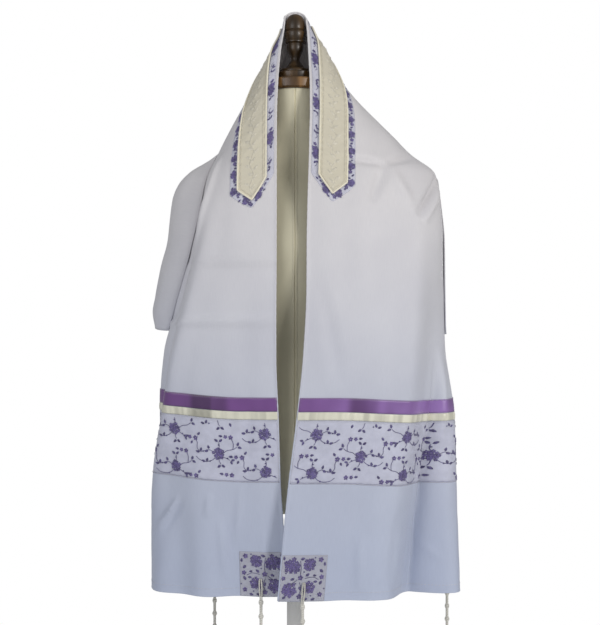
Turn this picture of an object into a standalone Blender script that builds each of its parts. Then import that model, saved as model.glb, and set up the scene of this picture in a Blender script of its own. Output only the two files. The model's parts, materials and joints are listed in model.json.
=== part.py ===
"""A tallit, the fringed prayer shawl, draped over a limbless dress form on its stand.

Metres, +Z up. The front faces -Y, +X is to the right of someone who looks at the front, and the
origin is the centre of the stand's underside, on the floor.
"""

import math
from functools import partial

import bmesh
import bpy
import numpy as np

# The cloth
CUT_WIDTH = 0.50            # the shawl's short edge, from the neck edge to the outer edge
CLOTH = 0.0014              # wall thickness of the shawl
TRIM_CLOTH = 0.0010         # wall thickness of what is sewn on
SEAM_GAP = 0.0003           # between two pieces that meet at a seam
RIDGE_GAP = 0.0007          # between the fronts and the back, where the wall turns over a ridge
LAID_GAP = 0.0009           # between the curved shawl and what lies on it
HEM_Z = 0.365
NECK_Z = 1.306
TAIL_TOP_Z = 0.880          # the folded-back tails end here, under the back of the shawl

# Bands across each front, as heights above the hem
PATCH_SIDE = 0.072
LACE_BAND = (0.182, 0.2815)
CREAM_RIBBON = (0.2822, 0.2945)
PURPLE_RIBBON = (0.2952, 0.3170)

# The neckband and the lace under it, as distances of their threads from the neck edge
LACE_T = (0.0015, 0.0155, 0.027, 0.038, 0.0495, 0.061, 0.074)
BAND_T = (0.0155, 0.027, 0.038, 0.0495, 0.061)
POINT_HEIGHT = 0.025
TIP_Z = {"left": 0.993, "right": 1.003}
LACE_BELOW_TIP = 0.015

# The tzitzit, the knotted tassels of the four corners
HOLE_IN = 0.038             # from the panel's edge to the hole
HOLE_UP = 0.028             # from the hem to the hole
RUN_RADIUS = 0.0015         # of the threads that lie on the patch
TASSEL_HANG = 0.270         # from the hem to the strands' ends
WOUND_LENGTH = 0.105        # the wound and knotted stretch below the hem
CORD_RADIUS = 0.0026
KNOT_RADIUS = 0.0042
KNOT_LENGTH = 0.008
KNOTS = 5
STRANDS = 8
STRAND_SPREAD = 0.0065
STRAND_UNEVEN = 0.012       # how much shorter than the longest a strand may be
STRAND_RADIUS = 0.0010
STRAND_SHARES = (0.06, 0.45, 1.0)   # of a strand's length, at its rings
CORE_SHARE = 0.3            # the strands grow from a ring of this share of the cord's radius

# The dress form and its stand
TORSO_BOTTOM_Z, TORSO_TOP_Z = 0.493, 1.184
PLATE_RADIUS, PLATE_THICK, PLATE_EDGE = 0.054, 0.018, 0.002
POLE_RADIUS = 0.014
BASE_RADIUS, BASE_THICK, BASE_STEPS = 0.185, 0.022, 32
# The base's outline from the top down: height, radius.
BASE_ROWS = (
    (BASE_THICK, 0.0), (BASE_THICK, 0.040), (0.018, BASE_RADIUS - 0.030), (0.012, BASE_RADIUS),
    (0.0, BASE_RADIUS),
)

SIDE_SIGN = {"left": -1.0, "right": 1.0}
COLLECTION = "tallit_on_dress_form"

STEP = 0.002                # for slopes measured from two points
STEP_Q = 0.004              # the same, as a share of the way across the back
MERGE = 0.00005             # points nearer than this are one
SHARP_ANGLE = math.radians(40)
ARC_STEPS = 56              # points on a quarter of the plan

# Each front in plan, one row for a height. inner is the front edge's distance from the middle,
# front its depth, fold the side fold's distance from the middle, side that fold's depth, and
# square how boxy the panel is between them. The fold is the shoulder ridge above SHOULDER_Z.
FRONT_COLUMNS = ("z", "inner", "front", "fold", "side", "square")
FRONT_ROWS = {
    "left": (
        (0.365, 0.0155, -0.114, 0.2290, -0.032, 2.8),
        (0.450, 0.0175, -0.118, 0.2280, -0.032, 2.7),
        (0.550, 0.0236, -0.123, 0.2280, -0.030, 2.6),
        (0.650, 0.0268, -0.127, 0.2250, -0.030, 2.6),
        (0.748, 0.0305, -0.130, 0.2160, -0.036, 2.6),
        (0.807, 0.0305, -0.132, 0.2010, -0.046, 2.5),
        (0.900, 0.0300, -0.132, 0.1740, -0.060, 2.4),
        (0.975, 0.0300, -0.125, 0.1560, -0.062, 2.3),
        (1.035, 0.0302, -0.112, 0.1440, -0.050, 2.2),
        (1.081, 0.0304, -0.097, 0.1260, -0.020, 2.2),
        (1.130, 0.0304, -0.080, 0.1030, -0.006, 2.2),
        (1.185, 0.0290, -0.060, 0.0770, 0.002, 2.2),
        (1.248, 0.0247, -0.028, 0.0440, 0.004, 2.2),
        (1.284, 0.0195, -0.014, 0.0255, 0.004, 2.2),
        (1.306, 0.0165, -0.006, 0.0182, 0.004, 2.2),
    ),
    "right": (
        (0.365, -0.0265, -0.146, 0.2690, -0.022, 2.3),
        (0.450, -0.0190, -0.143, 0.2650, -0.022, 2.3),
        (0.550, -0.0090, -0.140, 0.2615, -0.022, 2.4),
        (0.650, 0.0035, -0.138, 0.2570, -0.022, 2.4),
        (0.750, 0.0140, -0.137, 0.2490, -0.022, 2.5),
        (0.850, 0.0190, -0.135, 0.2470, -0.022, 2.5),
        (0.932, 0.0195, -0.131, 0.2460, -0.022, 2.4),
        (1.002, 0.0210, -0.121, 0.2400, -0.018, 2.3),
        (1.045, 0.0225, -0.108, 0.2330, -0.012, 2.2),
        (1.078, 0.0235, -0.098, 0.1950, -0.008, 2.1),
        (1.107, 0.0240, -0.090, 0.1710, -0.005, 2.1),
        (1.138, 0.0250, -0.078, 0.1400, -0.002, 2.1),
        (1.185, 0.0250, -0.060, 0.0900, 0.002, 2.2),
        (1.214, 0.0240, -0.045, 0.0700, 0.003, 2.2),
        (1.248, 0.0225, -0.028, 0.0530, 0.004, 2.2),
        (1.284, 0.0205, -0.014, 0.0300, 0.004, 2.2),
        (1.306, 0.0180, -0.006, 0.0200, 0.004, 2.2),
    ),
}
# Where the shoulder ridge ends, and the back parts from the front's side fold.
SHOULDER_Z = {"left": 1.081, "right": 1.045}
# How far round the front goes, measured in plan before its folds take up cloth.
FRONT_REACH = 0.456

# The back at each side, one row for a height under the shoulder: how far out it stands.
BACK_SIDE_ROWS = {
    "left": (
        (0.770, 0.2310), (0.790, 0.2350), (0.815, 0.2385), (0.842, 0.2325), (0.890, 0.2225),
        (0.934, 0.2125), (1.004, 0.2060), (1.028, 0.1975), (1.050, 0.1780), (1.066, 0.1520),
        (1.081, 0.1262),
    ),
    "right": (
        (0.770, 0.2520), (0.850, 0.2510), (0.932, 0.2500), (1.002, 0.2425), (1.045, 0.2332),
    ),
}
BACK_SIDE_DEPTH = 0.012     # where, in depth, the back stands out most
LAPPED_BEHIND = 0.005       # how far behind the side fold the back's side edge starts
PARTING = 0.010             # the height over which the two part under the shoulder
LEAST_OUT = 0.0002          # the back's side edge stands at least this much outside its start
EDGE_SQUARE = 2.2           # how boxy the plan is from the back's side edge to where it stands out
BACK_SQUARE = 2.25          # how boxy it is from there to the middle of the back
TAIL_RUN = 0.05             # the plan distance past the fold over which the top drops to the tail's
LEVEL_POWER = 1.5           # how soon the back's threads sag from the side to the middle
# The middle of the back, one row for a height: its depth, and the tails' depth under it.
BACK_COLUMNS = ("z", "back", "tail")
BACK_ROWS = (
    (0.365, 0.128, 0.128),
    (0.550, 0.134, 0.128),
    (0.700, 0.141, 0.124),
    (0.800, 0.145, 0.120),
    (0.850, 0.144, 0.119),
    (0.930, 0.140, 0.117),
    (1.000, 0.132, 0.115),
    (1.040, 0.121, 0.110),
    (1.080, 0.103, 0.103),
    (1.130, 0.080, 0.080),
    (1.185, 0.064, 0.064),
    (1.248, 0.034, 0.034),
    (1.284, 0.0197, 0.0197),
    (1.306, 0.0167, 0.0167),
)
SWAG_FOOT_Z = {"left": 0.786, "right": 0.780}
LOWEST_MIDDLE = 0.70        # below the lowest point of the back's middle

# Folds of the fronts and tails, one row each: plan distance from the front edge and height at
# its head and foot, its half width, and how far it stands out there (a trough is negative).
FOLD_FADE = 0.25            # the share of a fold's length over which it rises
FOLD_COLUMNS = ("t_head", "z_head", "t_foot", "z_foot", "half", "out_head", "out_foot")
FRONT_FOLDS = {
    "left": (
        (0.088, 1.080, 0.150, 0.830, 0.020, 0.000, 0.004),
        (0.130, 1.000, 0.185, 0.790, 0.018, 0.000, -0.008),
        (0.118, 0.720, 0.124, 0.330, 0.024, 0.001, 0.005),
        (0.078, 0.700, 0.074, 0.330, 0.022, 0.000, -0.004),
        (0.185, 0.620, 0.175, 0.330, 0.022, 0.000, -0.007),
        (0.222, 0.700, 0.222, 0.330, 0.026, 0.001, 0.007),
        (0.305, 0.870, 0.300, 0.330, 0.028, -0.002, -0.014),
        (0.362, 0.870, 0.358, 0.330, 0.028, 0.004, 0.014),
        (0.418, 0.870, 0.420, 0.330, 0.026, -0.002, -0.012),
    ),
    "right": (
        (0.238, 0.990, 0.232, 0.330, 0.032, -0.001, -0.050),
        (0.282, 0.800, 0.290, 0.330, 0.030, 0.001, 0.016),
        (0.100, 0.720, 0.104, 0.330, 0.026, 0.000, -0.006),
        (0.148, 0.700, 0.152, 0.330, 0.024, 0.000, 0.005),
        (0.345, 0.870, 0.345, 0.330, 0.026, -0.002, -0.012),
        (0.398, 0.870, 0.400, 0.330, 0.026, 0.003, 0.012),
    ),
}
# Folds of the back, one row each: the share of the way from the left side to the right and the
# distance below the neck edge, at its head and foot.
BACK_FOLD_FADE = 0.08       # the share of the way across over which the folds rise from a side
BACK_FOLDS = (
    (0.115, 0.190, 0.170, 0.560, 0.045, 0.000, 0.010),
    (0.205, 0.220, 0.270, 0.560, 0.045, 0.000, -0.009),
    (0.330, 0.200, 0.370, 0.560, 0.050, 0.001, 0.009),
    (0.480, 0.200, 0.470, 0.560, 0.055, 0.000, -0.010),
    (0.590, 0.180, 0.575, 0.560, 0.045, 0.001, 0.009),
    (0.720, 0.220, 0.680, 0.560, 0.045, 0.000, -0.008),
    (0.840, 0.240, 0.800, 0.560, 0.050, 0.000, 0.011),
)

# The dress form's torso, one row for a height: half width, depth in front, depth behind.
TORSO_RINGS, TORSO_POINTS = 25, 28
TORSO_COLUMNS = ("z", "wide", "front", "back")
TORSO_ROWS = (
    (0.493, 0.165, 0.098, 0.098),
    (0.560, 0.168, 0.101, 0.101),
    (0.640, 0.160, 0.096, 0.098),
    (0.760, 0.122, 0.088, 0.084),
    (0.860, 0.140, 0.108, 0.086),
    (0.920, 0.150, 0.116, 0.092),
    (0.980, 0.150, 0.100, 0.096),
    (1.020, 0.154, 0.078, 0.092),
    (1.040, 0.148, 0.066, 0.084),
    (1.060, 0.122, 0.060, 0.076),
    (1.080, 0.092, 0.056, 0.067),
    (1.105, 0.064, 0.050, 0.058),
    (1.135, 0.050, 0.047, 0.052),
    (1.184, 0.048, 0.047, 0.048),
)
# The turned knob's outline from the top down: height above the plate, radius.
KNOB_ROWS = (
    (0.1130, 0.0000), (0.1120, 0.0070), (0.1085, 0.0120), (0.1010, 0.0152), (0.0900, 0.0165),
    (0.0860, 0.0165), (0.0845, 0.0150), (0.0830, 0.0172), (0.0740, 0.0172), (0.0690, 0.0150),
    (0.0675, 0.0165), (0.0650, 0.0165), (0.0630, 0.0130), (0.0520, 0.0138), (0.0430, 0.0090),
    (0.0370, 0.0070), (0.0310, 0.0100), (0.0230, 0.0150), (0.0180, 0.0290), (0.0150, 0.0300),
    (0.0125, 0.0290), (0.0120, 0.0400), (0.0000, 0.0400),
)

COLORS = {
    "shawl": ((0.83, 0.84, 0.90), 0.55, 0.0),
    "lace": ((0.72, 0.70, 0.84), 0.6, 0.0),
    "purple_ribbon": ((0.30, 0.14, 0.47), 0.3, 0.0),
    "cream_ribbon": ((0.82, 0.80, 0.66), 0.3, 0.0),
    "neckband": ((0.72, 0.69, 0.57), 0.5, 0.0),
    "tassel": ((0.88, 0.87, 0.82), 0.8, 0.0),
    "form_cover": ((0.62, 0.58, 0.45), 0.8, 0.0),
    "dark_wood": ((0.09, 0.05, 0.03), 0.4, 0.0),
    "painted_steel": ((0.80, 0.79, 0.76), 0.4, 0.0),
}


class Curve:
    """A smooth curve through a table's points that never overshoots them."""

    def __init__(self, at, value):
        self.x, self.y = np.array(at, float), np.array(value, float)
        step = np.diff(self.x)
        rise = np.diff(self.y) / step
        slope = np.zeros_like(self.y)
        before, after = rise[:-1], rise[1:]
        same = before * after > 0
        weight_a, weight_b = 2 * step[1:] + step[:-1], step[1:] + 2 * step[:-1]
        mean = (weight_a + weight_b) / (
            weight_a / np.where(same, before, 1) + weight_b / np.where(same, after, 1)
        )
        slope[1:-1] = np.where(same, mean, 0)
        slope[0], slope[-1] = rise[0], rise[-1]
        self.slope = slope

    def __call__(self, at):
        at = np.clip(at, self.x[0], self.x[-1])
        i = np.clip(np.searchsorted(self.x, at, side="right") - 1, 0, len(self.x) - 2)
        step = self.x[i + 1] - self.x[i]
        u = (at - self.x[i]) / step
        return (
            self.y[i] * (1 + 2 * u) * (1 - u) ** 2
            + self.slope[i] * step * u * (1 - u) ** 2
            + self.y[i + 1] * u**2 * (3 - 2 * u)
            + self.slope[i + 1] * step * u**2 * (u - 1)
        )


def curves(columns, rows):
    """One curve over the first column for each other column."""
    data = np.array(rows, float).T
    return {name: Curve(data[0], data[k]) for k, name in enumerate(columns) if k}


FRONT = {side: curves(FRONT_COLUMNS, rows) for side, rows in FRONT_ROWS.items()}
BACK = curves(BACK_COLUMNS, BACK_ROWS)
BACK_SIDE = {side: curves(("z", "out"), rows)["out"] for side, rows in BACK_SIDE_ROWS.items()}
SWEEP = np.linspace(0, math.pi / 2, ARC_STEPS)


def quarter(x0, y0, x1, y1, square, sweep=SWEEP):
    """Plan points that leave (x0, y0) sideways and reach (x1, y1) going straight back."""
    power = 2 / np.asarray(square)[..., None]
    along = np.sin(sweep) ** power
    back = 1 - np.cos(sweep) ** power
    x = x0[..., None] + (x1 - x0)[..., None] * along
    y = y0[..., None] + (y1 - y0)[..., None] * back
    return x, y


def walk(x, y, distance):
    """The point of each plan line (one a row) at that distance along it."""
    steps = np.hypot(np.diff(x, axis=1), np.diff(y, axis=1))
    length = np.concatenate([np.zeros((len(x), 1)), np.cumsum(steps, axis=1)], axis=1)
    distance = np.clip(distance, 0, length[:, -1])
    i = np.clip((length <= distance[:, None]).sum(axis=1) - 1, 0, x.shape[1] - 2)
    row = np.arange(len(x))
    share = (distance - length[row, i]) / np.maximum(steps[row, i], 1e-9)
    px = x[row, i] + share * (x[row, i + 1] - x[row, i])
    py = y[row, i] + share * (y[row, i + 1] - y[row, i])
    return px, py


def fold_lift(folds, t, z):
    """How far the folds of a table move the cloth outwards at (t, z)."""
    lift = np.zeros_like(t)
    for row in folds:
        f = dict(zip(FOLD_COLUMNS, row))
        share = (z - f["z_head"]) / (f["z_foot"] - f["z_head"])
        inside = np.clip(share, 0, 1)
        middle = f["t_head"] + (f["t_foot"] - f["t_head"]) * share
        across = np.clip(np.abs(t - middle) / (f["half"] * 2), 0, 1)
        fade_in = np.clip(share / FOLD_FADE, 0, 1)
        out = f["out_head"] + (f["out_foot"] - f["out_head"]) * inside
        out = out * fade_in**2 * (3 - 2 * fade_in)
        lift += np.where(share > 0, out, 0) * np.cos(across * math.pi / 2) ** 2
    return lift


def panel_plan(side, z):
    """Plan lines of a front's panel at each height, from its front edge to the side fold."""
    c = FRONT[side]
    return quarter(c["inner"](z), c["front"](z), c["fold"](z), c["side"](z), c["square"](z))


def front_plan(side, z):
    """Plan lines of a front at each height, from its front edge round the side to the back."""
    c = FRONT[side]
    x, y = panel_plan(side, z)
    zero = np.zeros_like(z)
    # From the middle of the back to the side, turned round to go on from the fold.
    back_x, back_y = quarter(zero, BACK["tail"](z), c["fold"](z), c["side"](z), zero + BACK_SQUARE)
    x = np.concatenate([x, back_x[:, -2::-1]], axis=1)
    y = np.concatenate([y, back_y[:, -2::-1]], axis=1)
    return x, y


def front_base(side, t, z):
    """Points of a front before its folds; t is the plan distance from the front edge."""
    x, y = walk(*front_plan(side, z), t)
    return np.stack([SIDE_SIGN[side] * x, y, z], axis=-1)


def unit(v):
    """Each vector at length 1."""
    return v / np.maximum(np.linalg.norm(v, axis=-1, keepdims=True), 1e-12)


def front_normal(side, t, z, place):
    """Outward normals of one of the front's surfaces, place(t, z)."""
    across = place(t + STEP, z) - place(np.maximum(t - STEP, 0), z)
    up = place(t, z + STEP) - place(t, z - STEP)
    return unit(np.cross(across, up)) * SIDE_SIGN[side]


def front_points(side, t, z):
    """(points, outward normals) of a front's outer face, folds and all."""
    shape = t.shape
    t, z = t.ravel(), z.ravel()
    base = partial(front_base, side)

    def folded(tt, zz):
        lift = fold_lift(FRONT_FOLDS[side], tt, zz)
        return base(tt, zz) + front_normal(side, tt, zz, base) * lift[:, None]

    points, normals = folded(t, z), front_normal(side, t, z, folded)
    return points.reshape(*shape, 3), normals.reshape(*shape, 3)


def ridge(side):
    """Curves along the shoulder ridge: its plan distance from the front edge, and the reverse."""
    z = np.linspace(SHOULDER_Z[side], NECK_Z, 60)
    x, y = panel_plan(side, z)
    t = np.hypot(np.diff(x, axis=1), np.diff(y, axis=1)).sum(axis=1)
    t[-1] = 0.0
    order = np.argsort(t)
    return Curve(t[order], z[order]), float(t[0])


RIDGES = {side: ridge(side) for side in SIDE_SIGN}
RIDGE_Z = {side: found[0] for side, found in RIDGES.items()}
SHOULDER_T = {side: found[1] for side, found in RIDGES.items()}


def front_top(side, t):
    """The height at which each thread of a front ends: the ridge, or the tail's hidden top."""
    shoulder = SHOULDER_T[side]
    past = np.clip((t - shoulder) / TAIL_RUN, 0, 1)
    drop = past**2 * (3 - 2 * past)
    tail_top = SHOULDER_Z[side] + (TAIL_TOP_Z - SHOULDER_Z[side]) * drop
    return np.where(t <= shoulder, RIDGE_Z[side](t), tail_top)


def mid_back_height():
    """The height of the middle of the back by its distance from the neck edge."""
    z = np.linspace(NECK_Z, LOWEST_MIDDLE, 200)
    y = BACK["back"](z)
    run = np.concatenate([[0], np.cumsum(np.hypot(np.diff(y), np.diff(z)))])
    return Curve(run, z)


MID_Z = mid_back_height()


def swag_edge_z(side, t):
    """The height of the back's side edge at each distance below the neck edge."""
    shoulder = SHOULDER_T[side]
    share = np.clip((t - shoulder) / (CUT_WIDTH - shoulder), 0, 1)
    hanging = SHOULDER_Z[side] + (SWAG_FOOT_Z[side] - SHOULDER_Z[side]) * share
    return np.where(t <= shoulder, RIDGE_Z[side](t), hanging)


def swag_half(side, share, z):
    """Points of one half of the back at that share of the way from its side to the middle."""
    c = FRONT[side]
    below = np.clip((SHOULDER_Z[side] - z) / PARTING, 0, 1)
    start_x = c["fold"](z) + (CLOTH + LAID_GAP) * below
    start_y = c["side"](z) + LAPPED_BEHIND * below
    out_x = np.where(below > 0, np.maximum(BACK_SIDE[side](z), start_x + LEAST_OUT), start_x)
    out_y = np.where(below > 0, c["side"](z) + (BACK_SIDE_DEPTH - c["side"](z)) * below, start_y)
    out_y = np.maximum(out_y, start_y)
    zero = np.zeros_like(z)
    x1, y1 = quarter(start_x, start_y, out_x, out_y, zero + EDGE_SQUARE)
    x2, y2 = quarter(zero, BACK["back"](z), out_x, out_y, zero + BACK_SQUARE)
    x = np.concatenate([x1, x2[:, -2::-1]], axis=1)
    y = np.concatenate([y1, y2[:, -2::-1]], axis=1)
    whole = np.hypot(np.diff(x, axis=1), np.diff(y, axis=1)).sum(axis=1)
    px, py = walk(x, y, share * whole)
    return np.stack([SIDE_SIGN[side] * px, py, z], axis=-1)


def swag_base(q, t):
    """Points of the back before its folds; q goes from the left side, 0, to the right, 1."""
    left = q <= 0.5
    share = np.where(left, q, 1 - q) * 2
    level = np.sin(share * math.pi / 2) ** LEVEL_POWER
    points = np.zeros((len(q), 3))
    for side, mask in (("left", left), ("right", ~left)):
        if mask.any():
            edge, middle = swag_edge_z(side, t[mask]), MID_Z(t[mask])
            z = edge + (middle - edge) * level[mask]
            points[mask] = swag_half(side, share[mask], z)
    return points


def swag_normal(q, t, place):
    """Outward normals of one of the back's surfaces, place(q, t)."""
    across = place(np.minimum(q + STEP_Q, 1), t) - place(np.maximum(q - STEP_Q, 0), t)
    down = place(q, t + STEP) - place(q, np.maximum(t - STEP, 0))
    return unit(np.cross(across, down))


def swag_points(q, t):
    """(points, outward normals) of the back's outer face."""
    shape = q.shape
    q, t = q.ravel(), t.ravel()

    def folded(qq, tt):
        lift = fold_lift(BACK_FOLDS, qq, tt)
        fade = np.clip(np.minimum(qq, 1 - qq) / BACK_FOLD_FADE, 0, 1)
        return swag_base(qq, tt) + swag_normal(qq, tt, swag_base) * (lift * fade)[:, None]

    points, normals = folded(q, t), swag_normal(q, t, folded)
    return points.reshape(*shape, 3), normals.reshape(*shape, 3)


def cloth(name, points, normals, material, laid=None):
    """A wall of cloth on a grid of points: under them, or moved out by `laid` and over them.

    Each cell is cut along its shorter diagonal before it is moved, so pieces that lie on one
    another are cut alike.
    """
    rows, columns = points.shape[:2]
    flat = points.reshape(-1, 3)
    faces = []
    for r in range(rows - 1):
        for c in range(columns - 1):
            a = r * columns + c
            b, d, e = a + 1, a + columns, a + columns + 1
            if np.linalg.norm(flat[a] - flat[e]) <= np.linalg.norm(flat[b] - flat[d]):
                faces += [(a, b, e), (a, e, d)]
            else:
                faces += [(a, b, d), (b, e, d)]
    moved = (points + normals * (laid or 0)).reshape(-1, 3)
    thing = mesh_object(name, moved, faces, material, normals.reshape(-1, 3))
    solid = thing.modifiers.new("cloth", "SOLIDIFY")
    solid.thickness = TRIM_CLOTH if laid else CLOTH
    solid.offset = 1 if laid else -1


def mesh_object(name, verts, faces, material, outward=None):
    """An object of these faces, turned to face outwards where an open sheet says which way."""
    mesh = bpy.data.meshes.new(name)
    mesh.from_pydata([tuple(map(float, v)) for v in verts], [], faces)
    work = bmesh.new()
    work.from_mesh(mesh)
    if outward is None:
        inside_out = work.calc_volume(signed=True) < 0
    else:
        work.normal_update()
        work.verts.ensure_lookup_table()
        middle = len(verts) // 2
        inside_out = work.verts[middle].normal.dot(outward[middle]) < 0
    bmesh.ops.remove_doubles(work, verts=work.verts, dist=MERGE)
    if inside_out:
        bmesh.ops.reverse_faces(work, faces=work.faces)
    bmesh.ops.triangulate(work, faces=work.faces)
    work.to_mesh(mesh)
    work.free()
    mesh.shade_smooth()
    mesh.set_sharp_from_angle(angle=SHARP_ANGLE)
    return add_object(name, mesh, material)


def add_object(name, mesh, material):
    """An object of this mesh in the model's collection."""
    thing = bpy.data.objects.new(name, mesh)
    mesh.materials.append(material_named(material))
    bpy.data.collections[COLLECTION].objects.link(thing)
    return thing


def material_named(name):
    """The material of this name, made on first use."""
    if name in bpy.data.materials:
        return bpy.data.materials[name]
    color, rough, metal = COLORS[name]
    material = bpy.data.materials.new(name)
    material.use_nodes = True
    shader = material.node_tree.nodes["Principled BSDF"]
    shader.inputs["Base Color"].default_value = (*color, 1)
    shader.inputs["Roughness"].default_value = rough
    shader.inputs["Metallic"].default_value = metal
    return material


# Columns of the fronts' grid, as plan distances from the front edge: they pass through the edges
# of what lies on the panel and through the holes of the corners.
FIXED_T = (0.0, 0.0155, 0.027, HOLE_IN, 0.0495, 0.061, 0.074)
COLUMN_STEP = 0.024
SHARED_COLUMNS = 8          # the fronts and the back have these in common, along the ridges
PATCH_COLUMNS = {"inner": slice(0, 7), "outer": slice(-3, None)}
UPPER_FROM = 0.36           # above the hem; higher rows are spread up to the ridge
UPPER_ROWS = 13
BACK_ACROSS = 29
BACK_LOWER_ROWS = 7
TALL_BAND = 0.05            # a band taller than this has a row between its edges


def steps_from(start, count):
    """That many columns after the start, a column step apart."""
    return start + COLUMN_STEP * np.arange(1, count + 1)


def front_columns():
    """The columns of a front, from its front edge to the tail's end."""
    last = [FRONT_REACH - PATCH_SIDE, FRONT_REACH - HOLE_IN, FRONT_REACH]
    count = round((last[0] - FIXED_T[-1]) / COLUMN_STEP) - 1
    return np.concatenate([FIXED_T, steps_from(FIXED_T[-1], count), last])


def band_rows(low, high):
    """Heights of a band's rows, with one between its edges where it is tall."""
    return [low, (low + high) / 2, high] if high - low > TALL_BAND else [low, high]


def front_heights(side, t):
    """The heights of the grid's rows at each column: level ones, then ones up to the top."""
    between = (PATCH_SIDE + LACE_BAND[0]) / 2
    level = [0.0, PATCH_SIDE, between, *band_rows(*LACE_BAND), *CREAM_RIBBON, *PURPLE_RIBBON]
    low = HEM_Z + np.array([*level, UPPER_FROM])
    start = HEM_Z + UPPER_FROM
    share = np.linspace(0, 1, UPPER_ROWS + 1)[1:]
    top = front_top(side, t) - SEAM_GAP
    high = start + share[:, None] * (top - start)
    return np.concatenate([np.repeat(low[:, None], len(t), 1), high])


def ridge_normals(side, t):
    """Normals halfway between the front's and the back's, where the two meet on a ridge."""
    q = np.full_like(t, SIDE_SIGN[side] * 0.5 + 0.5)
    return unit(front_points(side, t, front_top(side, t))[1] + swag_points(q, t)[1])


def front_grid(side, t):
    """(heights, points, normals) of a front: a column for each thread, from the hem up."""
    z = front_heights(side, t)
    points, normals = front_points(side, np.repeat(t[None], len(z), 0), z)
    on_ridge = t <= SHOULDER_T[side]
    normals[-1, on_ridge] = ridge_normals(side, t[on_ridge])
    return z, points, normals


def make_front(side):
    """A front of the shawl, with the tail that goes round the side."""
    points, normals = front_grid(side, front_columns())[1:]
    cloth(f"shawl_front_{side}", points, normals, "shawl")


def back_grid(t):
    """(points, normals) of the back: a row for each distance from the neck edge."""
    q = np.linspace(0, 1, BACK_ACROSS)
    points, normals = swag_points(*np.meshgrid(q, t))
    # The back stops short of the ridge, so that the two inner faces stay apart too.
    for side, edge, beside in (("left", 0, 1), ("right", -1, -2)):
        points[:, edge] += unit(points[:, beside] - points[:, edge]) * RIDGE_GAP
        on_ridge = t <= SHOULDER_T[side]
        normals[on_ridge, edge] = ridge_normals(side, t[on_ridge])
    return points, normals


def make_back():
    """The back of the shawl, between the two shoulder ridges."""
    shared = steps_from(FIXED_T[-1], SHARED_COLUMNS)
    lower = np.linspace(shared[-1], CUT_WIDTH, BACK_LOWER_ROWS + 1)[1:]
    t = np.concatenate([FIXED_T, shared, lower])
    cloth("shawl_back", *back_grid(t), "shawl")


def make_band(name, side, rows, material):
    """A ribbon or lace band across a front, on the shawl's own columns."""
    t = front_columns()
    z = HEM_Z + np.array(rows)[:, None] + 0 * t[None]
    points, normals = front_points(side, np.repeat(t[None], len(z), 0), z)
    cloth(f"{name}_{side}", points, normals, material, SEAM_GAP)


def make_patch(name, side, t):
    """A square of lace on a corner of the shawl, on the columns given."""
    z = HEM_Z + np.array([0.0, PATCH_SIDE])[:, None] + 0 * t[None]
    points, normals = front_points(side, np.repeat(t[None], len(z), 0), z)
    cloth(f"{name}_{side}", points, normals, "lace", SEAM_GAP)


def front_strip(side, t, end):
    """(points, normals) of the cloth's own grid from each thread's end up to the ridge."""
    z, points, normals = front_grid(side, t)
    for c, stop in enumerate(end):
        first = int(np.argmax(z[:, c] > stop + STEP))
        share = (stop - z[first - 1, c]) / (z[first, c] - z[first - 1, c])
        for grid in (points, normals):
            grid[:first, c] = grid[first - 1, c] + (grid[first, c] - grid[first - 1, c]) * share
    lowest = min(int(np.argmax(z[:, c] > stop + STEP)) for c, stop in enumerate(end)) - 1
    return points[lowest:], normals[lowest:]


def pointed_end(t, tip_z, height):
    """The height at which each thread of a pointed strip ends."""
    middle, half = (t[0] + t[-1]) / 2, (t[-1] - t[0]) / 2
    return tip_z + np.abs(t - middle) / half * height


def make_strip(name, t, tip_z, out, material):
    """A strip along the neck edge: up the left front, round behind the neck and down again."""
    t = np.array(t)
    left, right = (front_strip(s, t, pointed_end(t, tip_z[s], POINT_HEIGHT)) for s in SIDE_SIGN)
    back = back_grid(t)
    points, normals = (
        np.concatenate([left[k], back[k].transpose(1, 0, 2), right[k][::-1]]) for k in (0, 1)
    )
    cloth(name, points, normals, material, out)


def make_neckband():
    """The neckband and the lace that shows all round from under it."""
    lace_tips = {side: tip - LACE_BELOW_TIP for side, tip in TIP_Z.items()}
    make_strip("neckband_lace", LACE_T, lace_tips, LAID_GAP, "lace")
    on_lace = LAID_GAP + TRIM_CLOTH + LAID_GAP
    make_strip("neckband", BAND_T, TIP_Z, on_lace, "neckband")


def tassel_outline():
    """(distance below the hem, radius) down a tassel's wound stretch: cord, knot, cord, knot."""
    rows = []
    for k in range(KNOTS):
        middle = KNOT_LENGTH + (WOUND_LENGTH - 2 * KNOT_LENGTH) * k / (KNOTS - 1)
        rows += [(middle - KNOT_LENGTH / 2, CORD_RADIUS), (middle, KNOT_RADIUS)]
        rows += [(middle + KNOT_LENGTH / 2, CORD_RADIUS)]
    return rows


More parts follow.
